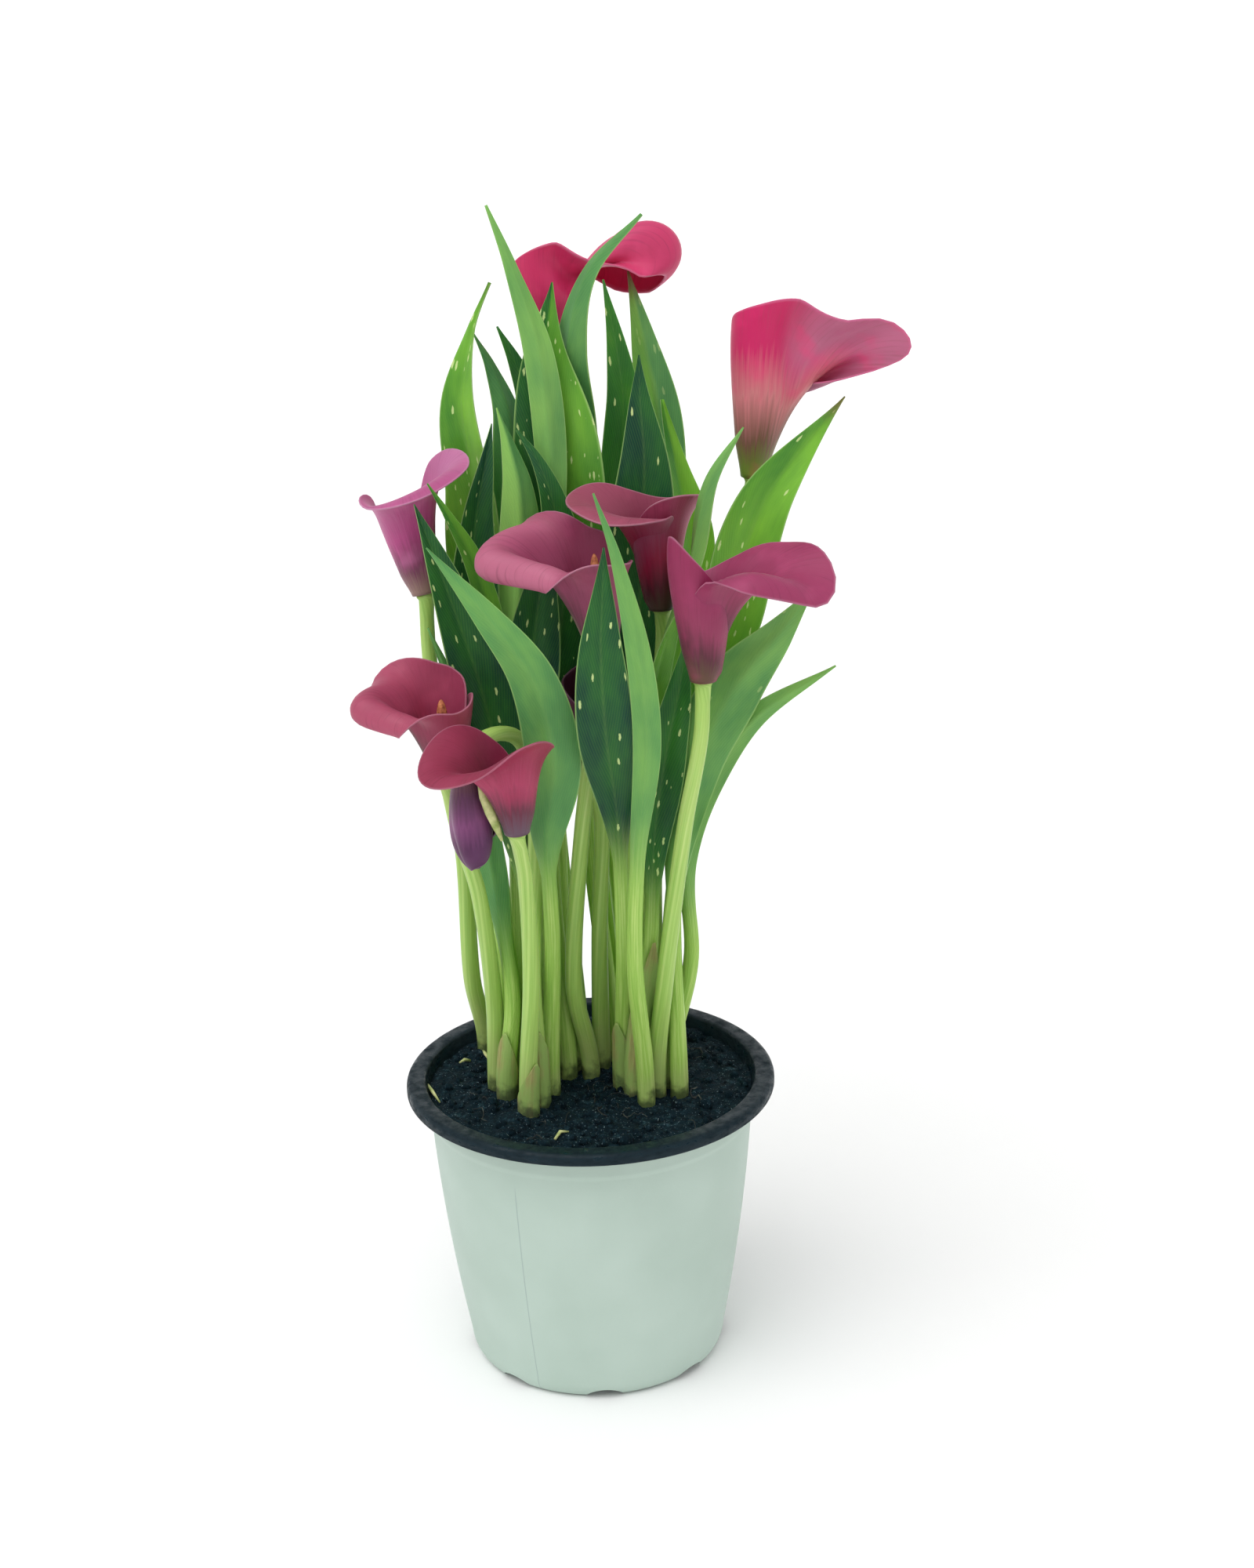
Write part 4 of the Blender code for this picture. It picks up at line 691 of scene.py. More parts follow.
def stalk_paint(name):
    """A flower stalk: pale green streaks, duller toward the soil."""
    paint = Paint(name, roughness=0.42, specular_ior_level=0.4, subsurface_weight=0.1,
                  subsurface_scale=0.002)
    size = paint.uv("UVMap")
    fine = streaks(paint, size, 90.0, 1.2)
    foot = paint.step(paint.plus(paint.axes(size)[1], streaks(paint, size, 14.0, 1.5)), 0.85, 0.5)
    green = paint.tinted(paint.ramp(fine, *STALK_RAMP), foot, 0.4, STALK_FOOT)
    return paint.finished(darkened_near_soil(paint, green), fine, 0.12, 0.0004)


def spadix_paint(name):
    """The fleshy spike: orange grains, dustier between them."""
    paint = Paint(name, roughness=0.7, subsurface_weight=0.2, subsurface_scale=0.002)
    grain = paint.noise(paint.here(), 900.0, 2.0)
    return paint.finished(paint.ramp(grain, *SPADIX_RAMP), grain, 0.4, 0.0004)


def sheath_paint(name):
    """A withered sheath: papery brown with green left in it."""
    paint = Paint(name, roughness=0.8)
    size = paint.uv("UVMap")
    fine = streaks(paint, size, 120.0, 6.0, 4.0)
    fresh = paint.step(streaks(paint, size, 16.0, 4.0), 0.34, 0.56)
    sheath = paint.mixed(fresh, paint.ramp(fine, *SHEATH_RAMP), srgb(SHEATH_GREEN))
    return paint.finished(darkened_near_soil(paint, sheath), fine, 0.5, 0.0006)


def pot_paint(name):
    """The pot outside: pale sage plastic with a faint grain and one mould line."""
    paint = Paint(name, roughness=0.5, specular_ior_level=0.4)
    place = paint.here()
    x, y, z = paint.axes(place)
    grain = paint.noise(place, 900.0, 2.0)
    sage = paint.ramp(paint.noise(place, 26.0, 2.0), *POT_RAMP)
    sage = paint.tinted(sage, paint.step(grain, 0.62, 0.8), 0.15, POT_GRAIN)
    off = paint.apart(paint.calc("ARCTAN2", y, x), math.radians(SEAM_TURN))
    reach = paint.step(z, SEAM_TOP * MM, (SEAM_TOP - SEAM_FADE) * MM)
    seam = paint.times(paint.step(off, 0.006, 0.001), reach)
    sage = paint.tinted(sage, seam, 0.6, POT_SEAM)
    return paint.finished(sage, paint.plus(grain, paint.times(seam, -3.0)), 0.12, 0.0004)


def rim_paint(name):
    """The dark rim and inside: teal black plastic, a little scuffed and dusted with peat."""
    paint = Paint(name, specular_ior_level=0.2)
    place = paint.here()
    scuff = paint.noise(paint.stretch(place, 1.0, 1.0, 3.0), 190.0, 5.0, 0.65)
    dust = paint.noise(place, 420.0, 4.0, 0.7)
    paint.set("Roughness", paint.step(scuff, 0.92, 0.08))
    dark = paint.mixed(paint.step(dust, 0.62, 0.75), paint.ramp(scuff, *RIM_RAMP), srgb(RIM_DUST))
    return paint.finished(dark, dust, 0.15, 0.0004)


def peat_paint(name):
    """Wet peat: near black with a blue cast and painted glints; its palest crumbs are partly painted
    highlight.
    """
    paint = Paint(name, roughness=0.85, specular_ior_level=0.15)
    crumb = paint.noise(paint.here(), 330.0, 6.0, 0.7)
    glint = paint.noise(paint.here(), 1300.0, 3.0, 0.6)
    earth = paint.mixed(paint.step(glint, 0.62, 0.72), paint.ramp(crumb, *PEAT_RAMP), srgb(PEAT_GLINT))
    return paint.finished(earth, paint.plus(crumb, paint.times(glint, 0.4)), 0.9, 0.0025)


def fibre_paint(name):
    """Roots in the peat."""
    paint = Paint(name, roughness=0.75)
    return paint.finished(paint.ramp(paint.noise(paint.here(), 260.0, 3.0), *FIBRE_RAMP))


def straw_paint(name):
    """Fresh pale sprouts, bits of straw, and the drooping bloom's margin."""
    paint = Paint(name, roughness=0.6)
    return paint.finished(paint.ramp(paint.noise(paint.here(), 300.0, 2.0), *STRAW_RAMP))


def tuber_paint(name):
    """Tuber skin: brown, ringed and a little scaly."""
    paint = Paint(name, roughness=0.85)
    rings = paint.noise(paint.stretch(paint.here(), 1.0, 1.0, 6.0), 120.0, 4.0)
    return paint.finished(paint.ramp(rings, *TUBER_RAMP), rings, 0.5, 0.001)


def foot_of(place):
    """Where a stem stands in the soil: a clump is filled like a honeycomb."""
    clump, column, row = place
    start = CLUMPS[clump]
    shift = 0.5 * (row % 2)
    return Vector((start[0] + (column + shift) * CELL, start[1] + row * CELL * ROW_STEP, 0.0))


def stretch_at(knots, place):
    """Which of the stretches between knots a place lies in."""
    index = 0
    while index < len(knots) - 2 and place > knots[index + 1]:
        index += 1
    return index


def curve(t, a, b, leave, arrive):
    """A number or point at share t of the way from a to b, with its slope at either end."""
    u = 1.0 - t
    return a * (u * u * (1 + 2 * t)) + b * (t * t * (3 - 2 * t)) + leave * (t * u * u) - arrive * (t * t * u)


class Line:
    """A smooth line through points, met upright at its first one."""

    def __init__(self, points):
        self.points = [Vector(p) for p in points]
        self.knots = [0.0]
        for a, b in zip(self.points, self.points[1:]):
            self.knots.append(self.knots[-1] + (b - a).length)

    def slope(self, index):
        if index == 0:
            return UP
        last = min(index + 1, len(self.points) - 1)
        first = index - 1
        return (self.points[last] - self.points[first]) / (self.knots[last] - self.knots[first])

    def at(self, share):
        """The point at a share of the length."""
        place = share * self.knots[-1]
        i = stretch_at(self.knots, place)
        span = self.knots[i + 1] - self.knots[i]
        t = (place - self.knots[i]) / span
        return curve(t, self.points[i], self.points[i + 1], self.slope(i) * span, self.slope(i + 1) * span)

    def along(self, share):
        """The direction at a share of the length."""
        step = 0.004
        return (self.at(min(share + step, 1.0)) - self.at(max(share - step, 0.0))).normalized()


def stem_line(spec):
    """The line of a leaf or stalk from just above the soil."""
    foot = foot_of(spec["foot"])
    return Line([(foot.x, foot.y, STRAIGHT_Z)] + spec["path"])


def facing(degrees):
    """A level direction, in degrees from the viewer toward the right."""
    turn = math.radians(degrees)
    return Vector((math.sin(turn), -math.cos(turn), 0.0))


def around(count):
    """Cosine and sine of evenly spaced turns."""
    turns = [2 * math.pi * i / count for i in range(count)]
    return [(math.cos(a), math.sin(a)) for a in turns]


def ring_of(middle, side, other, radius, count):
    """Points of a circle that lies in two directions."""
    return [middle + side * (radius * c) + other * (radius * s) for c, s in around(count)]


def grid_faces(rows, columns, closed=False):
    """Faces over rows of points. If closed, each row's last point joins its first."""
    faces = []
    for row in range(rows - 1):
        low = row * columns
        for i in range(columns if closed else columns - 1):
            j = (i + 1) % columns
            faces.append((low + i, low + j, low + columns + j, low + columns + i))
    return faces


def tube_faces(rings, count):
    """Faces of a closed skin over rings of count points each, with capped ends."""
    last = (rings - 1) * count
    return grid_faces(rings, count, closed=True) + [tuple(range(count)), tuple(range(last, last + count))]


def mesh_from(name, shape):
    """A smooth mesh from a finished edit mesh."""
    mesh = bpy.data.meshes.new(name)
    shape.to_mesh(mesh)
    shape.free()
    mesh.shade_smooth()
    return mesh


def mesh_of(name, points, faces, merge=False):
    """A smooth mesh in metres from points in millimetres, its faces turned outward."""
    shape = bmesh.new()
    made = [shape.verts.new(Vector(p) * MM) for p in points]
    for face in faces:
        shape.faces.new([made[i] for i in face])
    if merge:
        bmesh.ops.remove_doubles(shape, verts=shape.verts, dist=0.01 * MM)
    bmesh.ops.recalc_face_normals(shape, faces=shape.faces)
    return mesh_from(name, shape)


def lay_uv(mesh, layer, pairs):
    """Gives each vertex a pair of numbers as a UV layer."""
    corners = np.empty(len(mesh.loops), dtype=np.int32)
    mesh.loops.foreach_get("vertex_index", corners)
    made = mesh.uv_layers.new(name=layer)
    made.uv.foreach_set("vector", np.array(pairs, dtype=np.float32)[corners].ravel())


def lay_marks(mesh, marks):
    """Gives each vertex the four numbers that its material reads."""
    made = mesh.color_attributes.new(name="mark", type="FLOAT_COLOR", domain="POINT")
    made.data.foreach_set("color", np.array(marks, dtype=np.float32).ravel())


def new_thing(name, data):
    """A new object in the scene."""
    thing = bpy.data.objects.new(name, data)
    bpy.context.scene.collection.objects.link(thing)
    return thing


def shaped(thing):
    """The mesh that a scratch object's modifiers make. The object itself is removed."""
    bpy.context.view_layer.update()
    graph = bpy.context.evaluated_depsgraph_get()
    mesh = bpy.data.meshes.new_from_object(thing.evaluated_get(graph))
    bpy.data.objects.remove(thing)
    return mesh


def add_piece(name, mesh, slot, *looks, stands_for=()):
    """Adds a finished piece that rides on the plant."""
    for look in looks:
        mesh.materials.append(look)
    piece = new_thing(name, mesh)
    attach(piece, "root")
    if stands_for:
        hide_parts(*stands_for)
    return piece


def blade_half_width(t, start, half, widest):
    """Half the width of a blade at a share t of its length: lance shaped."""
    if t < widest:
        return mix(start, half, math.sin(math.pi / 2 * t / widest) ** 1.5)
    return mix(TIP_HALF, half, math.cos(math.pi / 2 * (t - widest) / (1 - widest)) ** 1.15)


def across_leaf():
    """Places across a leaf from -1 to 1, closer together near the margins."""
    return [math.sin(math.pi / 2 * (2 * i / (LEAF_ACROSS - 1) - 1)) for i in range(LEAF_ACROSS)]


def leaf_ring(t, half, spec, ripple, channel):
    """One ring of a leaf: place across, x and y, with the upper face first.

    t is negative on the stalk, which is round, and runs from 0 to 1 along the blade.
    """
    flat = smooth(0.0, 0.3, t)
    points = []
    for side in (1, -1):
        for place in across_leaf():
            u = side * place
            turn = math.radians(PETIOLE_ROUND * u)
            dent = 1.0 - channel * math.exp(-(u / 0.4) ** 2) if side > 0 else 1.0
            round_x = half * math.sin(turn)
            round_y = side * half * math.cos(turn) * dent
            rise = spec["fold"] * half * abs(u) ** 1.4
            rise += spec["wave"] * math.sin(ripple + RIPPLES * t + 1.3 * u) * u * u * flat
            rise += 0.05 * half * math.sin(math.pi * abs(u))
            rib = (RIB_THICK - BLADE_THICK) * math.exp(-(u * half / RIB_WIDE) ** 2) * (1 - t)
            groove = GROOVE_DEEP * math.exp(-(u * half / GROOVE_WIDE) ** 2) * (1 - t)
            thick = BLADE_THICK / 2 * mix(1.0, 0.7, u * u)
            y = rise + thick - groove if side > 0 else rise - thick - rib
            points.append((u, mix(round_x, half * u, flat), mix(round_y, y, flat)))
    return points


def leaf_stations(begins):
    """Shares of a leaf's length at which it has a ring, first on the stalk and then on the blade."""
    shares = [begins * i / STALK_STEPS for i in range(STALK_STEPS)]
    return shares + [mix(begins, 1.0, i / BLADE_STEPS) for i in range(BLADE_STEPS + 1)]


class Grown:
    """A piece that is grown ring by ring, each of count points with UV pairs and a mark."""

    def __init__(self, count):
        self.count = count
        self.corners = []

    def add(self, point, size, share, mark):
        self.corners.append((point, size, share, mark))

    def add_ring(self, middle, ahead, radius, run):
        """Adds a round ring of a stalk, the same way round all along it."""
        for i, point in enumerate(ring_of(middle, *square_to(ahead), radius, self.count)):
            turn = i / self.count
            size = (radius * 2 * math.pi * turn / UV_UNIT, run / UV_UNIT)
            self.add(point, size, (turn, 0.0), (0.5, 0, 1, 0))

    def mesh(self, name):
        points, sizes, shares, marks = zip(*self.corners)
        mesh = mesh_of(name, points, tube_faces(len(points) // self.count, self.count))
        lay_uv(mesh, "UVMap", sizes)
        lay_uv(mesh, "share", shares)
        lay_marks(mesh, marks)
        return mesh


def leaf_mark(spec, u, t, share):
    """Tone with painted backlight and painted fold shade, flecks, petiole and withered tip at a place on a
    leaf.
    """
    left, right, flecks, tip = spec["tones_and_light"]
    # The two halves' tones paint backlight on one side and the fold's shade on the other.
    tone_and_light = mix(left, right, smooth(-0.12, 0.12, u))
    petiole = 1.0 - smooth(-0.12, 0.2, t)
    return (tone_and_light, flecks * smooth(0.0, 0.15, t), petiole, tip * smooth(0.955, 0.99, share))


def make_leaf(name, spec, *looks):
    """A leaf as one body: a channelled stalk that opens into a folded, pointed blade."""
    line = stem_line(spec)
    begins, width, widest = spec["blade"]
    ripple = 1.7 * (sum(map(ord, name)) % 7)
    foot = foot_of(spec["foot"])
    grown = Grown(2 * LEAF_ACROSS)
    up = facing(spec["face"][0])
    side = UP.cross(up)
    for height in (STEM_FOOT_Z, SOIL_Z):
        middle = foot + UP * height
        for u, x, y in leaf_ring(-1.0, STEM_R, spec, ripple, 0.0):
            size = (0.5 + x / UV_UNIT, (height - SOIL_Z) / UV_UNIT)
            grown.add(middle + side * x + up * y, size, (0.5 + u / 2, 0.0), (0.5, 0, 1, 0))
    for share in leaf_stations(begins):
        t = (share - begins) / (1.0 - begins)
        grown_by = min(share / begins, 1.0)
        stalk_r = STEM_R * mix(1.0, PETIOLE_TAPER, grown_by)
        half = stalk_r if t <= 0 else blade_half_width(t, stalk_r, width / 2, widest)
        ahead = line.along(share)
        look_way = facing(mix(*spec["face"], max(t, 0.0)))
        up = (look_way - ahead * look_way.dot(ahead)).normalized()
        side = ahead.cross(up)
        middle = line.at(share)
        run = share * line.knots[-1] / UV_UNIT
        for u, x, y in leaf_ring(max(t, -1.0), half, spec, ripple, PETIOLE_CHANNEL * grown_by):
            size = (0.5 + u * half / UV_UNIT, run)
            grown.add(middle + side * x + up * y, size, (0.5 + u / 2, share), leaf_mark(spec, u, t, share))
    mesh = grown.mesh(name)
    piece = add_piece(f"fine_{name}", mesh, "leaf_green", *looks, stands_for=[name])
    upper = [0 if i % grown.count < LEAF_ACROSS - 1 else 1 for i in range(len(mesh.polygons))]
    mesh.polygons.foreach_set("material_index", upper)
    return piece


def stalk_axis(spec):
    """The top of a flower stalk and the direction of its bloom."""
    return Vector(spec["path"][-1]), Vector(spec["axis"]).normalized()


def square_to(ahead):
    """Two directions square to a stem, the same way round all along it."""
    side = (RIGHT - ahead * ahead.x).normalized()
    return side, ahead.cross(side)


def make_stalk(name, spec, look):
    """A flower stalk, round, and straight where the bloom's tube is round it."""
    top, axis = stalk_axis(spec)
    line = stem_line(spec)
    foot = foot_of(spec["foot"])
    length = line.knots[-1]
    grown = Grown(STALK_SIDES)
    for height in (STEM_FOOT_Z, SOIL_Z):
        grown.add_ring(foot + UP * height, UP, STEM_R, 0.0)
    for i in range(STALK_RINGS):
        share = STALK_END * i / (STALK_RINGS - 1)
        grown.add_ring(line.at(share), line.along(share), mix(STEM_R, STALK_TOP_R, share), share * length)
    for rise, radius in SWELLING:
        grown.add_ring(top + axis * rise, axis, radius, length + rise)
    return add_piece(f"fine_{name}", grown.mesh(name), "stalk_green", look, stands_for=[name])


def between(table, place):
    """The numbers that a table gives at a place: its rows start with their places."""
    i = stretch_at([row[0] for row in table], place)
    low, high = table[i], table[i + 1]
    before, after = table[max(i - 1, 0)], table[min(i + 2, len(table) - 1)]
    span = high[0] - low[0]
    found = []
    for a, b, c, d in zip(before[1:], low[1:], high[1:], after[1:]):
        leave = (c - a) / (high[0] - before[0]) * span
        arrive = (d - b) / (after[0] - low[0]) * span
        found.append(curve((place - low[0]) / span, b, c, leave, arrive))
    return found


class Spathe:
    """The shape of a bloom's sheet, as lines that run from the tube to its edge."""

    def __init__(self, spec, steps):
        self.spec = spec
        self.steps = steps
        top, self.axis = stalk_axis(spec)
        self.start = top + self.axis
        lip = Vector(spec["lip"])
        self.lip = (lip - self.axis * lip.dot(self.axis)).normalized()
        self.side = self.axis.cross(self.lip)
        self.first = spec["rim"][0][0]
        self.last = spec["rim"][-1][0]
        self.ridge = self.walk(0.0)

    def stop(self, step):
        """The share of a line at a step, with shorter steps toward the rim."""
        return 1 - (1 - step / self.steps) ** 1.5

    def lean(self, t, end, curl):
        """Degrees by which a line leans away from the axis at share t of its length."""
        return mix(self.spec["flare"], end, t ** curl)

    def rolled(self, t):
        """Degrees that the roll at the lip's end adds at share t."""
        begin, degrees = self.spec["roll"]
        return degrees * (max(0.0, t - begin) / (1 - begin)) ** 1.5

    def walk(self, degrees):
        """How far out from the axis and up along it the line runs, step by step."""
        reach, end = between(self.spec["rim"], degrees)
        near = math.exp(-(degrees / LIP_WIDE) ** 2)
        curl = mix(CURL, self.spec["curl"], near)
        out_by, up_by, t = 0.0, 0.0, 0.0
        passed = []
        for step in range(self.steps + 1):
            while t < self.stop(step) - 1e-9:
                stride = min(0.02, self.stop(step) - t)
                lean = math.radians(self.lean(t + stride / 2, end, curl) + near * self.rolled(t))
                out_by += reach * stride * math.sin(lean)
                up_by += reach * stride * math.cos(lean)
                t += stride
            passed.append((out_by, up_by))
        return passed

    def twisted(self, point, step, degrees):
        """The point turned about the middle of the lip by the lip's twist."""
        if step == 0 or not self.spec["twist"]:
            return point
        here, before = [self.start + self.lip * (TUBE_R + self.ridge[i][0]) + self.axis * self.ridge[i][1]
                        for i in (step, step - 1)]
        close = math.exp(-(degrees / (1.5 * LIP_WIDE)) ** 2)
        amount = self.spec["twist"] * close * smooth(0.5, 0.9, self.stop(step))
        turn = Matrix.Rotation(math.radians(amount), 3, here - before)
        return here + turn @ (point - here)

    def directions(self, count):
        """Degrees round the axis of the lines across the sheet, denser toward the lip."""
        before = round(count * self.first / (self.first - self.last))
        shares = [i / before for i in range(before, 0, -1)]
        found = [self.first * share * mix(LIP_DENSE, 1, share) for share in shares]
        shares = [i / (count - before) for i in range(count - before + 1)]
        return found + [self.last * share * mix(LIP_DENSE, 1, share) for share in shares]

    def line(self, degrees):
        """Points from the tube to the edge, in a direction round the axis from the lip."""
        layer = (degrees - self.first) / (self.last - self.first)
        if self.last < -self.first:
            layer = 1.0 - layer
        turned = math.radians(degrees)
        out = self.lip * math.cos(turned) + self.side * math.sin(turned)
        points = []
        for step, (out_by, up_by) in enumerate(self.walk(degrees)):
            apart = layer * mix(TIGHT, SPIRAL, smooth(0.0, 0.25, self.stop(step)))
            point = self.start + out * (TUBE_R + apart + out_by) + self.axis * up_by
            points.append(self.twisted(point, step, degrees))
        return points


def sheet_of(name, points, columns, layer, pairs, thickness, *looks):
    """A sheet over rows of points. Its inner face takes the last of its looks."""
    mesh = bpy.data.meshes.new(name)
    mesh.from_pydata([p * MM for p in points], [], grid_faces(len(points) // columns, columns))
    mesh.update()
    lay_uv(mesh, layer, pairs)
    for look in looks:
        mesh.materials.append(look)
    sheet = new_thing(name, mesh)
    shell = sheet.modifiers.new("thickness", "SOLIDIFY")
    shell.thickness = thickness * MM
    shell.offset = 0.0
    shell.material_offset = len(looks) - 1
    mesh = shaped(sheet)
    mesh.shade_smooth()
    return mesh


def make_spathe(name, spec):
    """A bloom's one sheet: rolled into a tube, open into a funnel with a drawn-out lip."""
    form = Spathe(spec, SPATHE_STEPS)
    rim, middle, base, inner, throat, lip = SPATHE_COLOURS[name]
    outside = spathe_paint(f"spathe_{name}_outside", rim, middle, base, lip, 0.42)
    inside = spathe_paint(f"spathe_{name}_inside", inner, inner, throat, lip, 0.5)
    directions = form.directions(SPATHE_ACROSS)
    rows = zip(*(form.line(degrees) for degrees in directions))
    points = [point for row in rows for point in row]
    shares = [(0.5 + degrees / 720, form.stop(step)) for step in range(SPATHE_STEPS + 1)
              for degrees in directions]
    mesh = sheet_of(f"sheet_{name}", points, SPATHE_ACROSS + 1, "share", shares, SHEET, outside, inside)
    return add_piece(f"fine_spathe_{name}", mesh, "spathe_magenta", stands_for=[f"spathe_{name}"])


def make_spadix(name, spec, look):
    """The bloom's fleshy spike: grains in close rows, standing on the top of its stalk."""
    top, axis = stalk_axis(spec)
    start = top + axis * (SOCKET + GAP)
    side, other = square_to(axis)
    length = spec["spadix"]
    grown = Grown(SPADIX_SIDES)
    for ring in range(SPADIX_RINGS):
        share = ring / (SPADIX_RINGS - 1)
        size = mix(0.9, 1.0, smooth(0.0, 0.3, share)) * math.sqrt(max(1.0 - share ** 5, 0.02))
        middle = start + axis * (length * share)
        for i in range(SPADIX_SIDES):
            a = 2 * math.pi * i / SPADIX_SIDES
            grain = math.sin(GRAINS * a + share * length * 1.1)
            grain *= math.sin(-GRAINS * a + share * length * 1.9)
            radius = (SPADIX_R - 0.1 + GRAIN_HIGH * grain) * size
            point = middle + side * (radius * math.cos(a)) + other * (radius * math.sin(a))
            grown.add(point, (a / 40, length * share / UV_UNIT), (i / SPADIX_SIDES, share), (0.5, 0, 0, 0))
    mesh = grown.mesh(f"spadix_{name}")
    return add_piece(f"fine_spadix_{name}", mesh, "spadix_orange", look, stands_for=[f"spadix_{name}"])


def wall_radius(z):
    """Outer radius of the pot at height z: a bulging wall, and a collar over its step."""
    if z > STEP_Z:
        return mix(BODY_R + STEP_OUT, THROAT_R, (z - STEP_Z) / (POT_H - RIM_H - STEP_Z))
    share = (z - FOOT_Z) / (STEP_Z - FOOT_Z)
    return mix(FOOT_R, BODY_R, share) + BULGE * share * (1 - share)


def wall_heights():
    """Heights between the foot and the step at which the wall bends."""
    return [FOOT_Z] + [mix(FOOT_Z, STEP_Z, i / WALL_STEPS) for i in range(1, WALL_STEPS)] + [STEP_Z]


def arc(middle_r, middle_z, radius, first, last, steps):
    """Points of a rounded edge in the pot's profile."""
    points = []
    for i in range(steps + 1):
        turn = math.radians(mix(first, last, i / steps))
        points.append((middle_r + radius * math.cos(turn), middle_z + radius * math.sin(turn)))
    return points


def pot_profile():
    """Inner floor, inner wall, rolled rim, outer wall with its step, and the flat base."""
    under = POT_H - RIM_H
    throat = wall_radius(under)
    profile = [(0.0, WALL), (BASE_R - 1.0, WALL)]
    profile += [(wall_radius(z) - WALL, z) for z in wall_heights()]
    profile += [(throat - WALL, under)]
    profile += arc(throat + 1.0, POT_H - THROAT_ROUND, THROAT_ROUND, 180, 90, 5)
    profile += arc(RIM_R - RIM_ROUND, POT_H - RIM_ROUND, RIM_ROUND, 90, 0, 8)
    profile += arc(RIM_R - UNDER_ROUND, under + UNDER_ROUND, UNDER_ROUND, 0, -90, 4)
    profile += [(throat + 1.2, under), (throat + 0.5, under - 0.4), (wall_radius(under - 1.5), under - 1.5)]
    for i in range(STEP_SLOPE, -1, -1):
        share = i / STEP_SLOPE
        profile.append((BODY_R + STEP_OUT * smooth(0.0, 1.0, share), STEP_Z + STEP_TALL * (share - 0.5)))
    profile += [(wall_radius(z), z) for z in reversed(wall_heights()[:-1])]
    for i in range(1, FOOT_STEPS + 1):
        turn = math.radians(90 * i / FOOT_STEPS)
        profile.append((mix(BASE_R, FOOT_R, math.cos(turn)), FOOT_Z * (1 - math.sin(turn))))
    return profile + [(0.0, 0.0)]


def turned_mesh(name, profile, sides):
    """A turned mesh in metres from a profile of radius and height in millimetres."""
    points = [(r * c, r * s, z) for r, z in profile for c, s in around(sides)]
    return mesh_of(name, points, grid_faces(len(profile), sides, closed=True), merge=True)


def notch_cutters():
    """Low arches through the foot of the pot, where water drains."""
    cutters = bpy.data.collections.new("notches")
    bpy.context.scene.collection.children.link(cutters)
    for i in range(NOTCH_COUNT):
        angle = math.radians(-90 + NOTCH_TURN + 360 / NOTCH_COUNT * i)
        bpy.ops.mesh.primitive_cylinder_add(vertices=NOTCH_SIDES, radius=1.0, depth=1.0)
        cutter = bpy.context.object
        cutter.name = f"notch_cutter_{i + 1}"
        cutter.scale = (NOTCH_HIGH * MM, NOTCH_WIDE / 2 * MM, NOTCH_DEEP * MM)
        cutter.rotation_euler = (0.0, math.radians(90), angle)
        cutter.location = (NOTCH_AT * MM * math.cos(angle), NOTCH_AT * MM * math.sin(angle), 0.0)
        for old in list(cutter.users_collection):
            old.objects.unlink(cutter)
        cutters.objects.link(cutter)
    return cutters


def cut_pot():
    """The pot's mesh with its notches."""
    notches = notch_cutters()
    whole = new_thing("uncut_pot", turned_mesh("uncut_pot", pot_profile(), POT_SIDES))
    boolean = whole.modifiers.new("cut", "BOOLEAN")
    boolean.operand_type = "COLLECTION"
    boolean.collection = notches
    boolean.solver = "EXACT"
    mesh = shaped(whole)
    for cutter in list(notches.objects):
        bpy.data.objects.remove(cutter)
    bpy.data.collections.remove(notches)
    return mesh


def is_dark(x, y, z):
    """Whether a place on the pot's skin is on its rim or inside it."""
    if z > FOOT_Z:
        edge = wall_radius(z) - WALL * 0.5
    else:
        edge = mix(BASE_R - 0.5, FOOT_R - WALL * 0.5, z / FOOT_Z)
    inside = math.hypot(x, y) < edge and z > WALL * 0.5
    return inside or z > POT_H - RIM_H - 0.5


def make_pot(*looks):
    """The pot: pale outside, dark inside and on its rim."""
    mesh = cut_pot()
    mesh.materials.clear()
    mesh.shade_smooth()
    mesh.set_sharp_from_angle(angle=math.radians(SHARP_ANGLE))
    pot = add_piece("fine_pot", mesh, "pot_pale_green", *looks, stands_for=["pot"])
    for face in mesh.polygons:
        face.material_index = int(is_dark(*(face.center / MM)))
    return pot


def soil_radius(z):
    """Radius of the soil at height z, just clear of the pot's wall."""
    return wall_radius(z) - WALL - GAP


def soil_height(x, y):
    """The uneven top of the soil: a low dome, hollows and crumbs."""
    place = Vector((x, y, 3.0))
    height = SOIL_Z + SOIL_DOME * (1 - (math.hypot(x, y) / soil_radius(SOIL_Z)) ** 2)
    height += 0.7 * math.sin(0.21 * x + 1.0) * math.sin(0.17 * y + 0.4)
    height += 1.0 * noise.noise(place * 0.16)
    height += 0.9 * noise.noise(place * 0.45)
    return height + 0.6 * abs(noise.noise(place * 1.1))


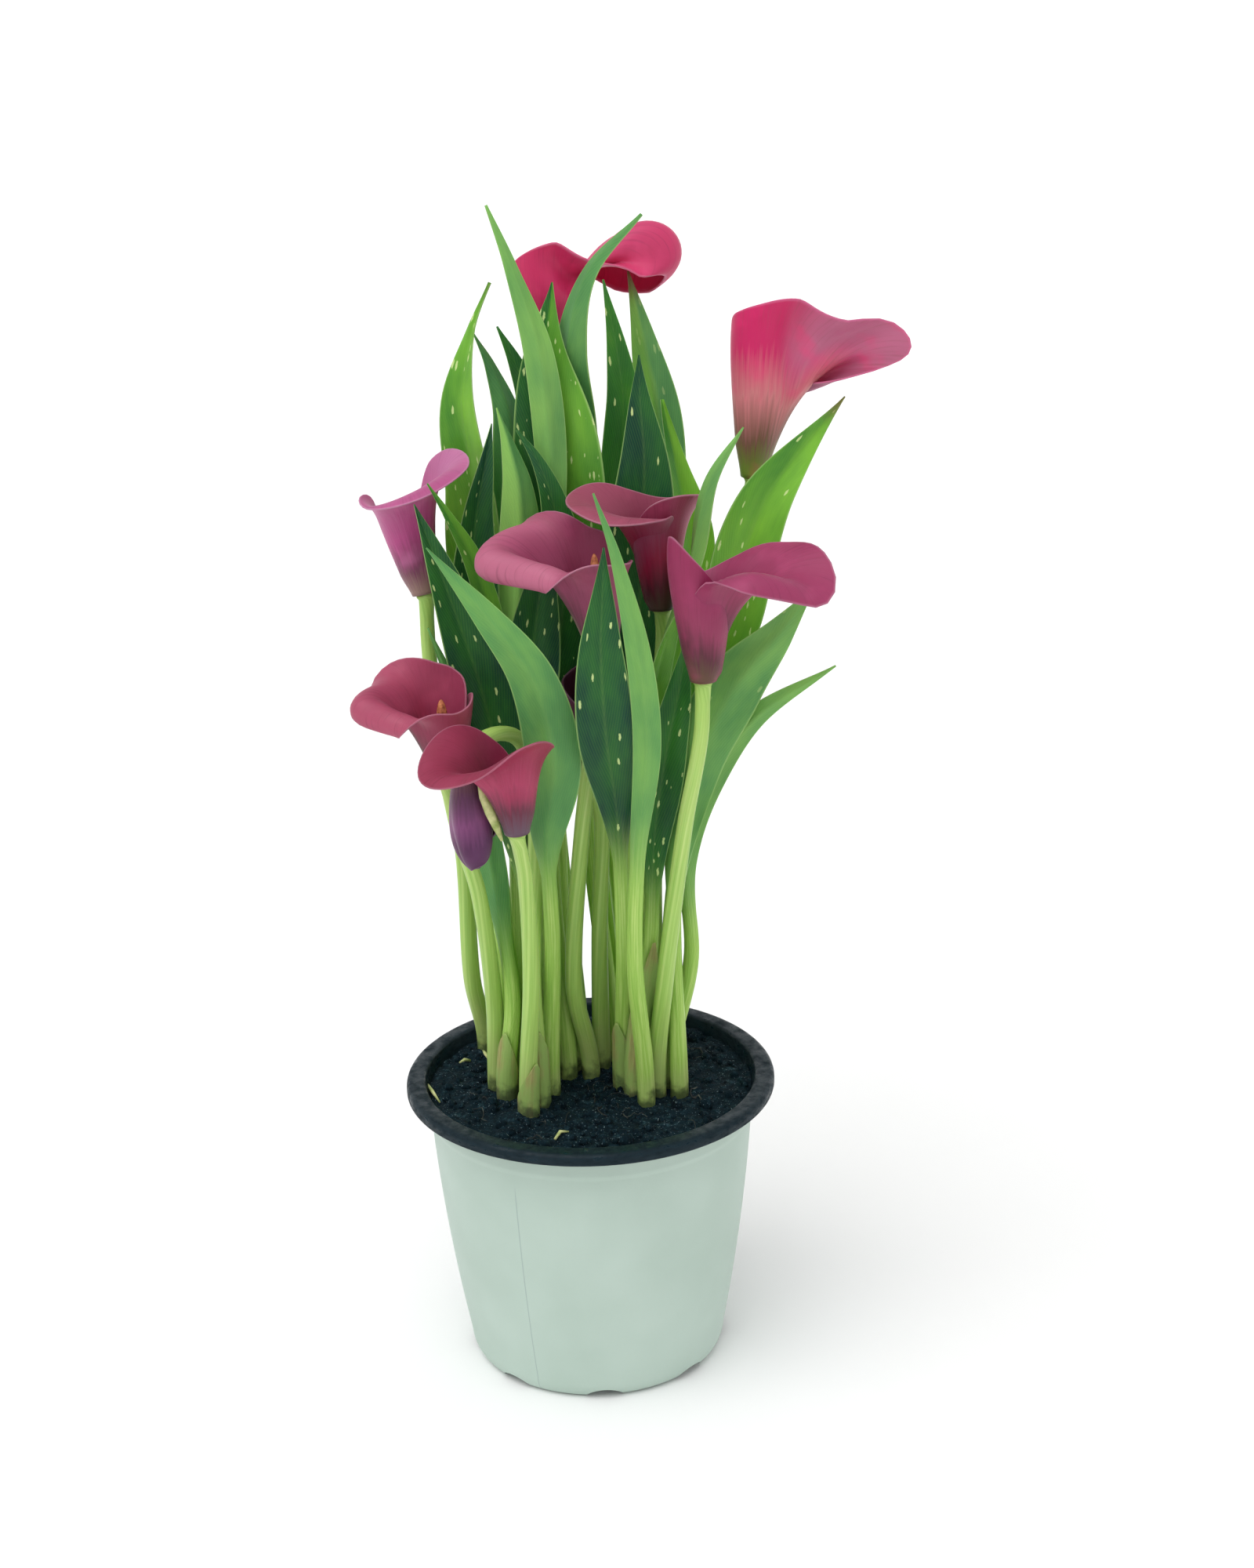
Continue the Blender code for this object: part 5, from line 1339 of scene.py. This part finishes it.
def make_soil(look):
    """The soil with its uneven top, filling the pot."""
    circle = around(SOIL_SIDES)
    points = [(0.0, 0.0, soil_height(0.0, 0.0))]
    for ring in range(1, SOIL_RINGS + 1):
        radius = soil_radius(SOIL_Z) * ring / SOIL_RINGS
        points += [(radius * c, radius * s, soil_height(radius * c, radius * s)) for c, s in circle]
    lower = [(soil_radius(z), z) for z in reversed(wall_heights()[1:])]
    lower += [(FOOT_R - WALL - GAP, FOOT_Z + 0.5), (BASE_R - 2.5, WALL + GAP)]
    for radius, height in lower:
        points += [(radius * c, radius * s, height) for c, s in circle]
    rings = SOIL_RINGS + len(lower)
    faces = [(0, 1 + i, 1 + (i + 1) % SOIL_SIDES) for i in range(SOIL_SIDES)]
    faces += [tuple(1 + i for i in face) for face in grid_faces(rings, SOIL_SIDES, closed=True)]
    faces.append(tuple(1 + (rings - 1) * SOIL_SIDES + i for i in range(SOIL_SIDES)))
    return add_piece("fine_soil", mesh_of("soil", points, faces), "peat", look, stands_for=["soil"])


def free_place(chance, inset, room):
    """A random place on the soil that keeps clear of its edge and of the stems."""
    feet = [foot_of(spec["foot"]) for spec in STEMS.values()]
    while True:
        radius = (soil_radius(SOIL_Z) - inset) * math.sqrt(chance.random())
        a = 2 * math.pi * chance.random()
        place = Vector((radius * math.cos(a), radius * math.sin(a), 0.0))
        if all((place - foot).length > room for foot in feet):
            return place


def make_crumbs(look):
    """Loose lumps of peat, each sunk into the soil by a third."""
    chance = random.Random(CRUMB_SEED)
    shape = bmesh.new()
    for _ in range(CRUMBS):
        size = 0.5 + 1.7 * chance.random() ** 3
        place = free_place(chance, CRUMB_INSET, STEM_R + size)
        place.z = soil_height(place.x, place.y) + 0.3 * size
        made = bmesh.ops.create_icosphere(shape, subdivisions=2, radius=1.0)["verts"]
        stretch = [size * (0.7 + 0.6 * chance.random()) for _ in range(3)]
        for vert in made:
            bulge = 1.0 + 0.35 * noise.noise(vert.co * 1.6 + place)
            vert.co = place + Vector([a * b * bulge for a, b in zip(vert.co, stretch)])
    bmesh.ops.scale(shape, vec=(MM, MM, MM), verts=shape.verts)
    return add_piece("soil_crumbs", mesh_from("crumbs", shape), "peat", look)


def tube_along(points, radii, sides):
    """Points and faces of a thin tube through points."""
    skin = []
    for i, point in enumerate(points):
        before, after = points[max(i - 1, 0)], points[min(i + 1, len(points) - 1)]
        ahead = (after - before).normalized()
        side = ahead.cross(UP if abs(ahead.z) < 0.9 else RIGHT).normalized()
        skin += ring_of(point, side, side.cross(ahead), radii[i], sides)
    return skin, tube_faces(len(points), sides)


def make_fibres(look):
    """Thin roots that lie in and out of the peat."""
    chance = random.Random(FIBRE_SEED)
    points, faces = [], []
    for _ in range(FIBRES):
        place = free_place(chance, FIBRE_INSET, STEM_R + 3.0)
        way = 2 * math.pi * chance.random()
        length = 3.0 + 7.0 * chance.random()
        bend = chance.uniform(-1.2, 1.2)
        run = []
        for i in range(FIBRE_POINTS):
            share = i / (FIBRE_POINTS - 1)
            x = place.x + length * share * math.cos(way + bend * share)
            y = place.y + length * share * math.sin(way + bend * share)
            lift = 0.5 + 1.1 * math.sin(math.pi * share) * chance.random()
            run.append(Vector((x, y, soil_height(x, y) + lift)))
        radius = 0.12 + 0.16 * chance.random()
        ring, skin = tube_along(run, [radius] * FIBRE_POINTS, FIBRE_SIDES)
        faces += [tuple(len(points) + i for i in face) for face in skin]
        points += ring
    return add_piece("soil_fibres", mesh_of("fibres", points, faces), "peat", look)


def make_scrap(name, run, radii, look):
    """A thin pale scrap of a plant: a sprout, a straw or a margin."""
    skin, faces = tube_along([Vector(p) for p in run], radii, SCRAP_SIDES)
    return add_piece(name, mesh_of(name, skin, faces), "stalk_green", look)


def make_sheath(name, spec, looks_at, top, spread, look):
    """A withered sheath: an open sleeve round a stem, drawn out to a point on one side."""
    line = stem_line(spec)
    points, sizes = [], []
    for i in range(SHEATH_ROWS):
        rise = i / (SHEATH_ROWS - 1)
        height = mix(SOIL_Z - 2.0, top, rise)
        middle = line.at(max(0.0, (height - STRAIGHT_Z) / line.knots[-1]))
        middle.z = height
        open_by = mix(SHEATH_OPEN, SHEATH_TIP, rise ** 1.3)
        away = STEM_R + SHEATH_GAP + spread * rise ** 3
        for j in range(SHEATH_ACROSS):
            u = 2 * j / (SHEATH_ACROSS - 1) - 1
            points.append(middle + facing(looks_at + open_by * u) * away)
            across = u * math.radians(open_by) * away
            sizes.append((0.5 + across / UV_UNIT, rise * (top - SOIL_Z) / UV_UNIT))
    mesh = sheet_of(name, points, SHEATH_ACROSS, "UVMap", sizes, SHEATH_THICK, look)
    return add_piece(name, mesh, "stalk_green")


def make_extras(sheath, straw):
    """Withered sheaths round some stems, the pale bits on the soil and the drooping margin."""
    for number, (stem, *form) in enumerate(SHEATHS, 1):
        make_sheath(f"sheath_{number}", STEMS[stem], *form, sheath)
    for number, places in enumerate(STRAWS, 1):
        run = [(x, y, soil_height(x, y) + lift) for (x, y), lift in zip(places, STRAW_LIFTS)]
        make_scrap(f"straw_{number}", run, STRAW_RADII, straw)
    make_scrap("drooping_margin", DROOPING_MARGIN, MARGIN_RADII, straw)


def make_camera():
    """The photograph's view: from the front and a little above."""
    data = bpy.data.cameras.new("camera")
    data.sensor_fit = "VERTICAL"
    data.angle = math.radians(VIEW_ANGLE)
    data.clip_start = 0.01
    camera = new_thing("camera", data)
    camera.matrix_world = (Matrix.Translation((AIM_X * MM, 0.0, AIM_Z * MM))
                           @ Matrix.Rotation(math.radians(90 - VIEW_DOWN), 4, "X")
                           @ Matrix.Rotation(math.radians(VIEW_ROLL), 4, "Z")
                           @ Matrix.Translation((0.0, 0.0, VIEW_DISTANCE * MM)))
    bpy.context.scene.camera = camera


def make_sun():
    """A wide soft sun from the front left that looks at the middle of the plant."""
    data = bpy.data.lights.new("sun", "SUN")
    data.energy = SUN_LIGHT
    data.angle = math.radians(SUN_WIDTH)
    sun = new_thing("sun", data)
    sun.location = SUN_AT * MM
    sun.rotation_euler = (SUN_AT - SUN_AIM).to_track_quat("Z", "Y").to_euler()


def make_room():
    """White all round: an even light, and a floor that runs up into a wall."""
    world = bpy.data.worlds.new("white_room")
    world.use_nodes = True
    background = world.node_tree.nodes["Background"]
    background.inputs["Color"].default_value = (1.0, 1.0, 1.0, 1.0)
    background.inputs["Strength"].default_value = WORLD_LIGHT
    bpy.context.scene.world = world
    bpy.context.scene.view_settings.view_transform = "Standard"
    profile = [(0.0, 0.0)] + arc(ROOM_R - ROOM_ROUND, ROOM_ROUND, ROOM_ROUND, -90, 0, 12)
    mesh = turned_mesh("floor", profile + [(ROOM_R, ROOM_H)], POT_SIDES)
    mesh.materials.append(Paint("pale_floor", roughness=0.9).finished(srgb(FLOOR_WHITE)))
    new_thing("floor", mesh)


def make_plant():
    """The leaves, and each bloom's stalk, spathe and spadix."""
    upper = leaf_paint("leaf_upper", LEAF_UPPER, 0.36, 0.9)
    under = leaf_paint("leaf_under", LEAF_UNDER, 0.48, 0.3)
    stalk = stalk_paint("stalk")
    spadix = spadix_paint("spadix")
    for name, spec in LEAVES.items():
        make_leaf(name, spec, upper, under)
    for name, spec in BLOOMS.items():
        make_stalk(f"stalk_{name}", spec, stalk)
        make_spathe(name, spec)
        make_spadix(name, spec, spadix)


def dress_tubers(look):
    """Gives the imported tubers, which stay as they are, their skin."""
    for name, node in frame["nodes"].items():
        if name.startswith("tuber"):
            node.material_slots[0].material = look


def main():
    """Builds the view, the light and every piece."""
    make_camera()
    make_sun()
    make_room()
    make_plant()
    make_pot(pot_paint("pot_outside"), rim_paint("pot_dark"))
    peat = peat_paint("peat")
    make_soil(peat)
    make_crumbs(peat)
    make_fibres(fibre_paint("fibres"))
    make_extras(sheath_paint("sheath"), straw_paint("straw"))
    dress_tubers(tuber_paint("tuber"))


main()
